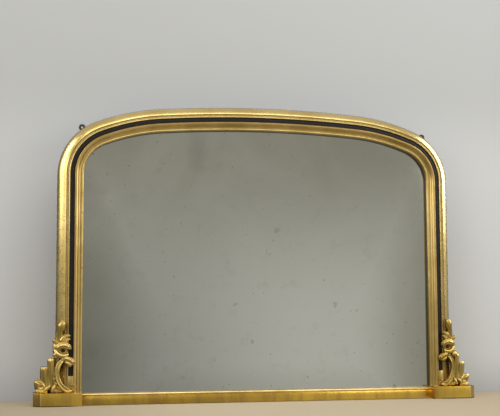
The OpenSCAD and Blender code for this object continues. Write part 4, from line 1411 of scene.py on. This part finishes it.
def studio_air(scene, studio):
    """World light that is even in front and above, and dim behind, so that the gilding has tone."""
    world = scene.world or bpy.data.worlds.new("studio")
    scene.world = world
    world.use_nodes = True
    world.node_tree.nodes.clear()
    work = Tree(world.node_tree)
    x, y, z = work.axes(object_place(work))
    level = work.between(y, 0.85, 0.30, studio.back_air, studio.side_air)
    level = work.most(level, work.between(y, 0.10, -0.75, 0.0, studio.air))
    level = work.most(level, work.between(z, 0.25, 0.80, 0.0, studio.high_air))
    level = work.times(level, work.between(z, -0.05, 0.18, 1.0, 0.94))
    low_left = work.between(z, -0.05, 0.15, 0.60, 1.05)
    share = work.between(x, 0.08, 0.27)
    lean = work.scaled(share, work.less(1.03, low_left), low_left)
    level = work.times(level, lean)
    air = work.add("ShaderNodeBackground",
                   {"Color": (1.0, 1.0, 0.985), "Strength": level}).outputs[0]
    work.add("ShaderNodeOutputWorld", {0: air})


# The camera: its turn as yaw, pitch and roll, its place and its lens in millimetres
CAMERA_TURN = (math.radians(11.84), math.radians(5.44), math.radians(-0.24))
CAMERA_PLACE = (-0.799, -3.640, 0.296)
CAMERA_LENS = 79.2


def add_camera(scene):
    """Adds the camera at the fitted place and turn."""
    yaw, pitch, roll = CAMERA_TURN
    ahead = Vector((math.sin(yaw) * math.cos(pitch), math.cos(yaw) * math.cos(pitch),
                    math.sin(pitch)))
    right = Vector((math.cos(yaw), -math.sin(yaw), 0.0))
    up = right.cross(ahead)
    turned = math.cos(roll) * right + math.sin(roll) * up
    raised = -math.sin(roll) * right + math.cos(roll) * up
    lens = bpy.data.cameras.new("camera")
    lens.lens, lens.sensor_width, lens.clip_end = CAMERA_LENS, 36.0, 50.0
    camera = bpy.data.objects.new("camera", lens)
    place = Matrix((turned, raised, -ahead)).transposed().to_4x4()
    place.translation = Vector(CAMERA_PLACE)
    camera.matrix_world = place
    scene.collection.objects.link(camera)
    scene.camera = camera


class SCENE_OT_overmantel_stage(bpy.types.Operator):
    """Sets the floor, the wall, soft studio light and the camera"""
    bl_idname = "scene.overmantel_stage"
    bl_label = "Stage"

    def execute(self, context):
        studio, scene = context.scene.overmantel_studio, context.scene
        y, reach, front, high = studio.wall_gap, 5, -6, 4
        flat_stage("stage_floor", [(-reach, front, 0), (reach, front, 0), (reach, reach, 0),
                                   (-reach, reach, 0)], floor_material(studio))
        flat_stage("stage_wall", [(-reach, y, 0), (reach, y, 0), (reach, y, high),
                                  (-reach, y, high)], wall_material(studio))
        for side, hand in SIDES:
            area_lamp(side + "_card", (2.8 * hand, 0.1, 1.9), (0.7 * hand, 0.1, 1.5), 1.5, 2.1,
                      studio.side * (1.2 + 0.25 * hand), only_gloss=True)
            area_lamp(side + "_softbox", (3.3 * hand, -2.9, 1.7), (-0.3 * hand, 0, 0.8), 3.5, 1.4,
                      studio.front)
        area_lamp("top_softbox", (0, -2.3, 3.6), (0, 0, 0.5), 5.0, 2.6, studio.top)
        studio_air(scene, studio)
        add_camera(scene)
        scene.view_settings.view_transform = "Standard"
        return {"FINISHED"}


# ---- The add-on ----

OPERATORS = (OBJECT_OT_overmantel_mouldings, OBJECT_OT_overmantel_base,
             OBJECT_OT_overmantel_carvings, OBJECT_OT_overmantel_plate,
             OBJECT_OT_overmantel_woodwork, OBJECT_OT_overmantel_hangers,
             OBJECT_OT_overmantel_fixings, SCENE_OT_overmantel_stage)


class VIEW3D_PT_overmantel(bpy.types.Panel):
    """Buttons for each group of pieces, with the sizes and colours that they use"""
    bl_idname = "VIEW3D_PT_overmantel"
    bl_label = "Overmantel mirror"
    bl_space_type = "VIEW_3D"
    bl_region_type = "UI"
    bl_category = "Overmantel"

    def draw(self, context):
        layout = self.layout
        for kind in OPERATORS:
            layout.operator(kind.bl_idname)
        for name, kind in GROUPS.items():
            box = layout.box()
            box.label(text=kind.__doc__)
            for key in kind.__annotations__:
                box.prop(getattr(context.scene, name), key)


def register():
    for kind in (*GROUPS.values(), *OPERATORS, VIEW3D_PT_overmantel):
        bpy.utils.register_class(kind)
    for name, kind in GROUPS.items():
        setattr(bpy.types.Scene, name, PointerProperty(type=kind))


def unregister():
    for name in GROUPS:
        delattr(bpy.types.Scene, name)
    for kind in (VIEW3D_PT_overmantel, *reversed(OPERATORS), *reversed(tuple(GROUPS.values()))):
        bpy.utils.unregister_class(kind)


def main():
    register()
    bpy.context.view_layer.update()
    for kind in OPERATORS:
        family, name = kind.bl_idname.split(".")
        getattr(getattr(bpy.ops, family), name)()


if __name__ == "__main__":
    main()
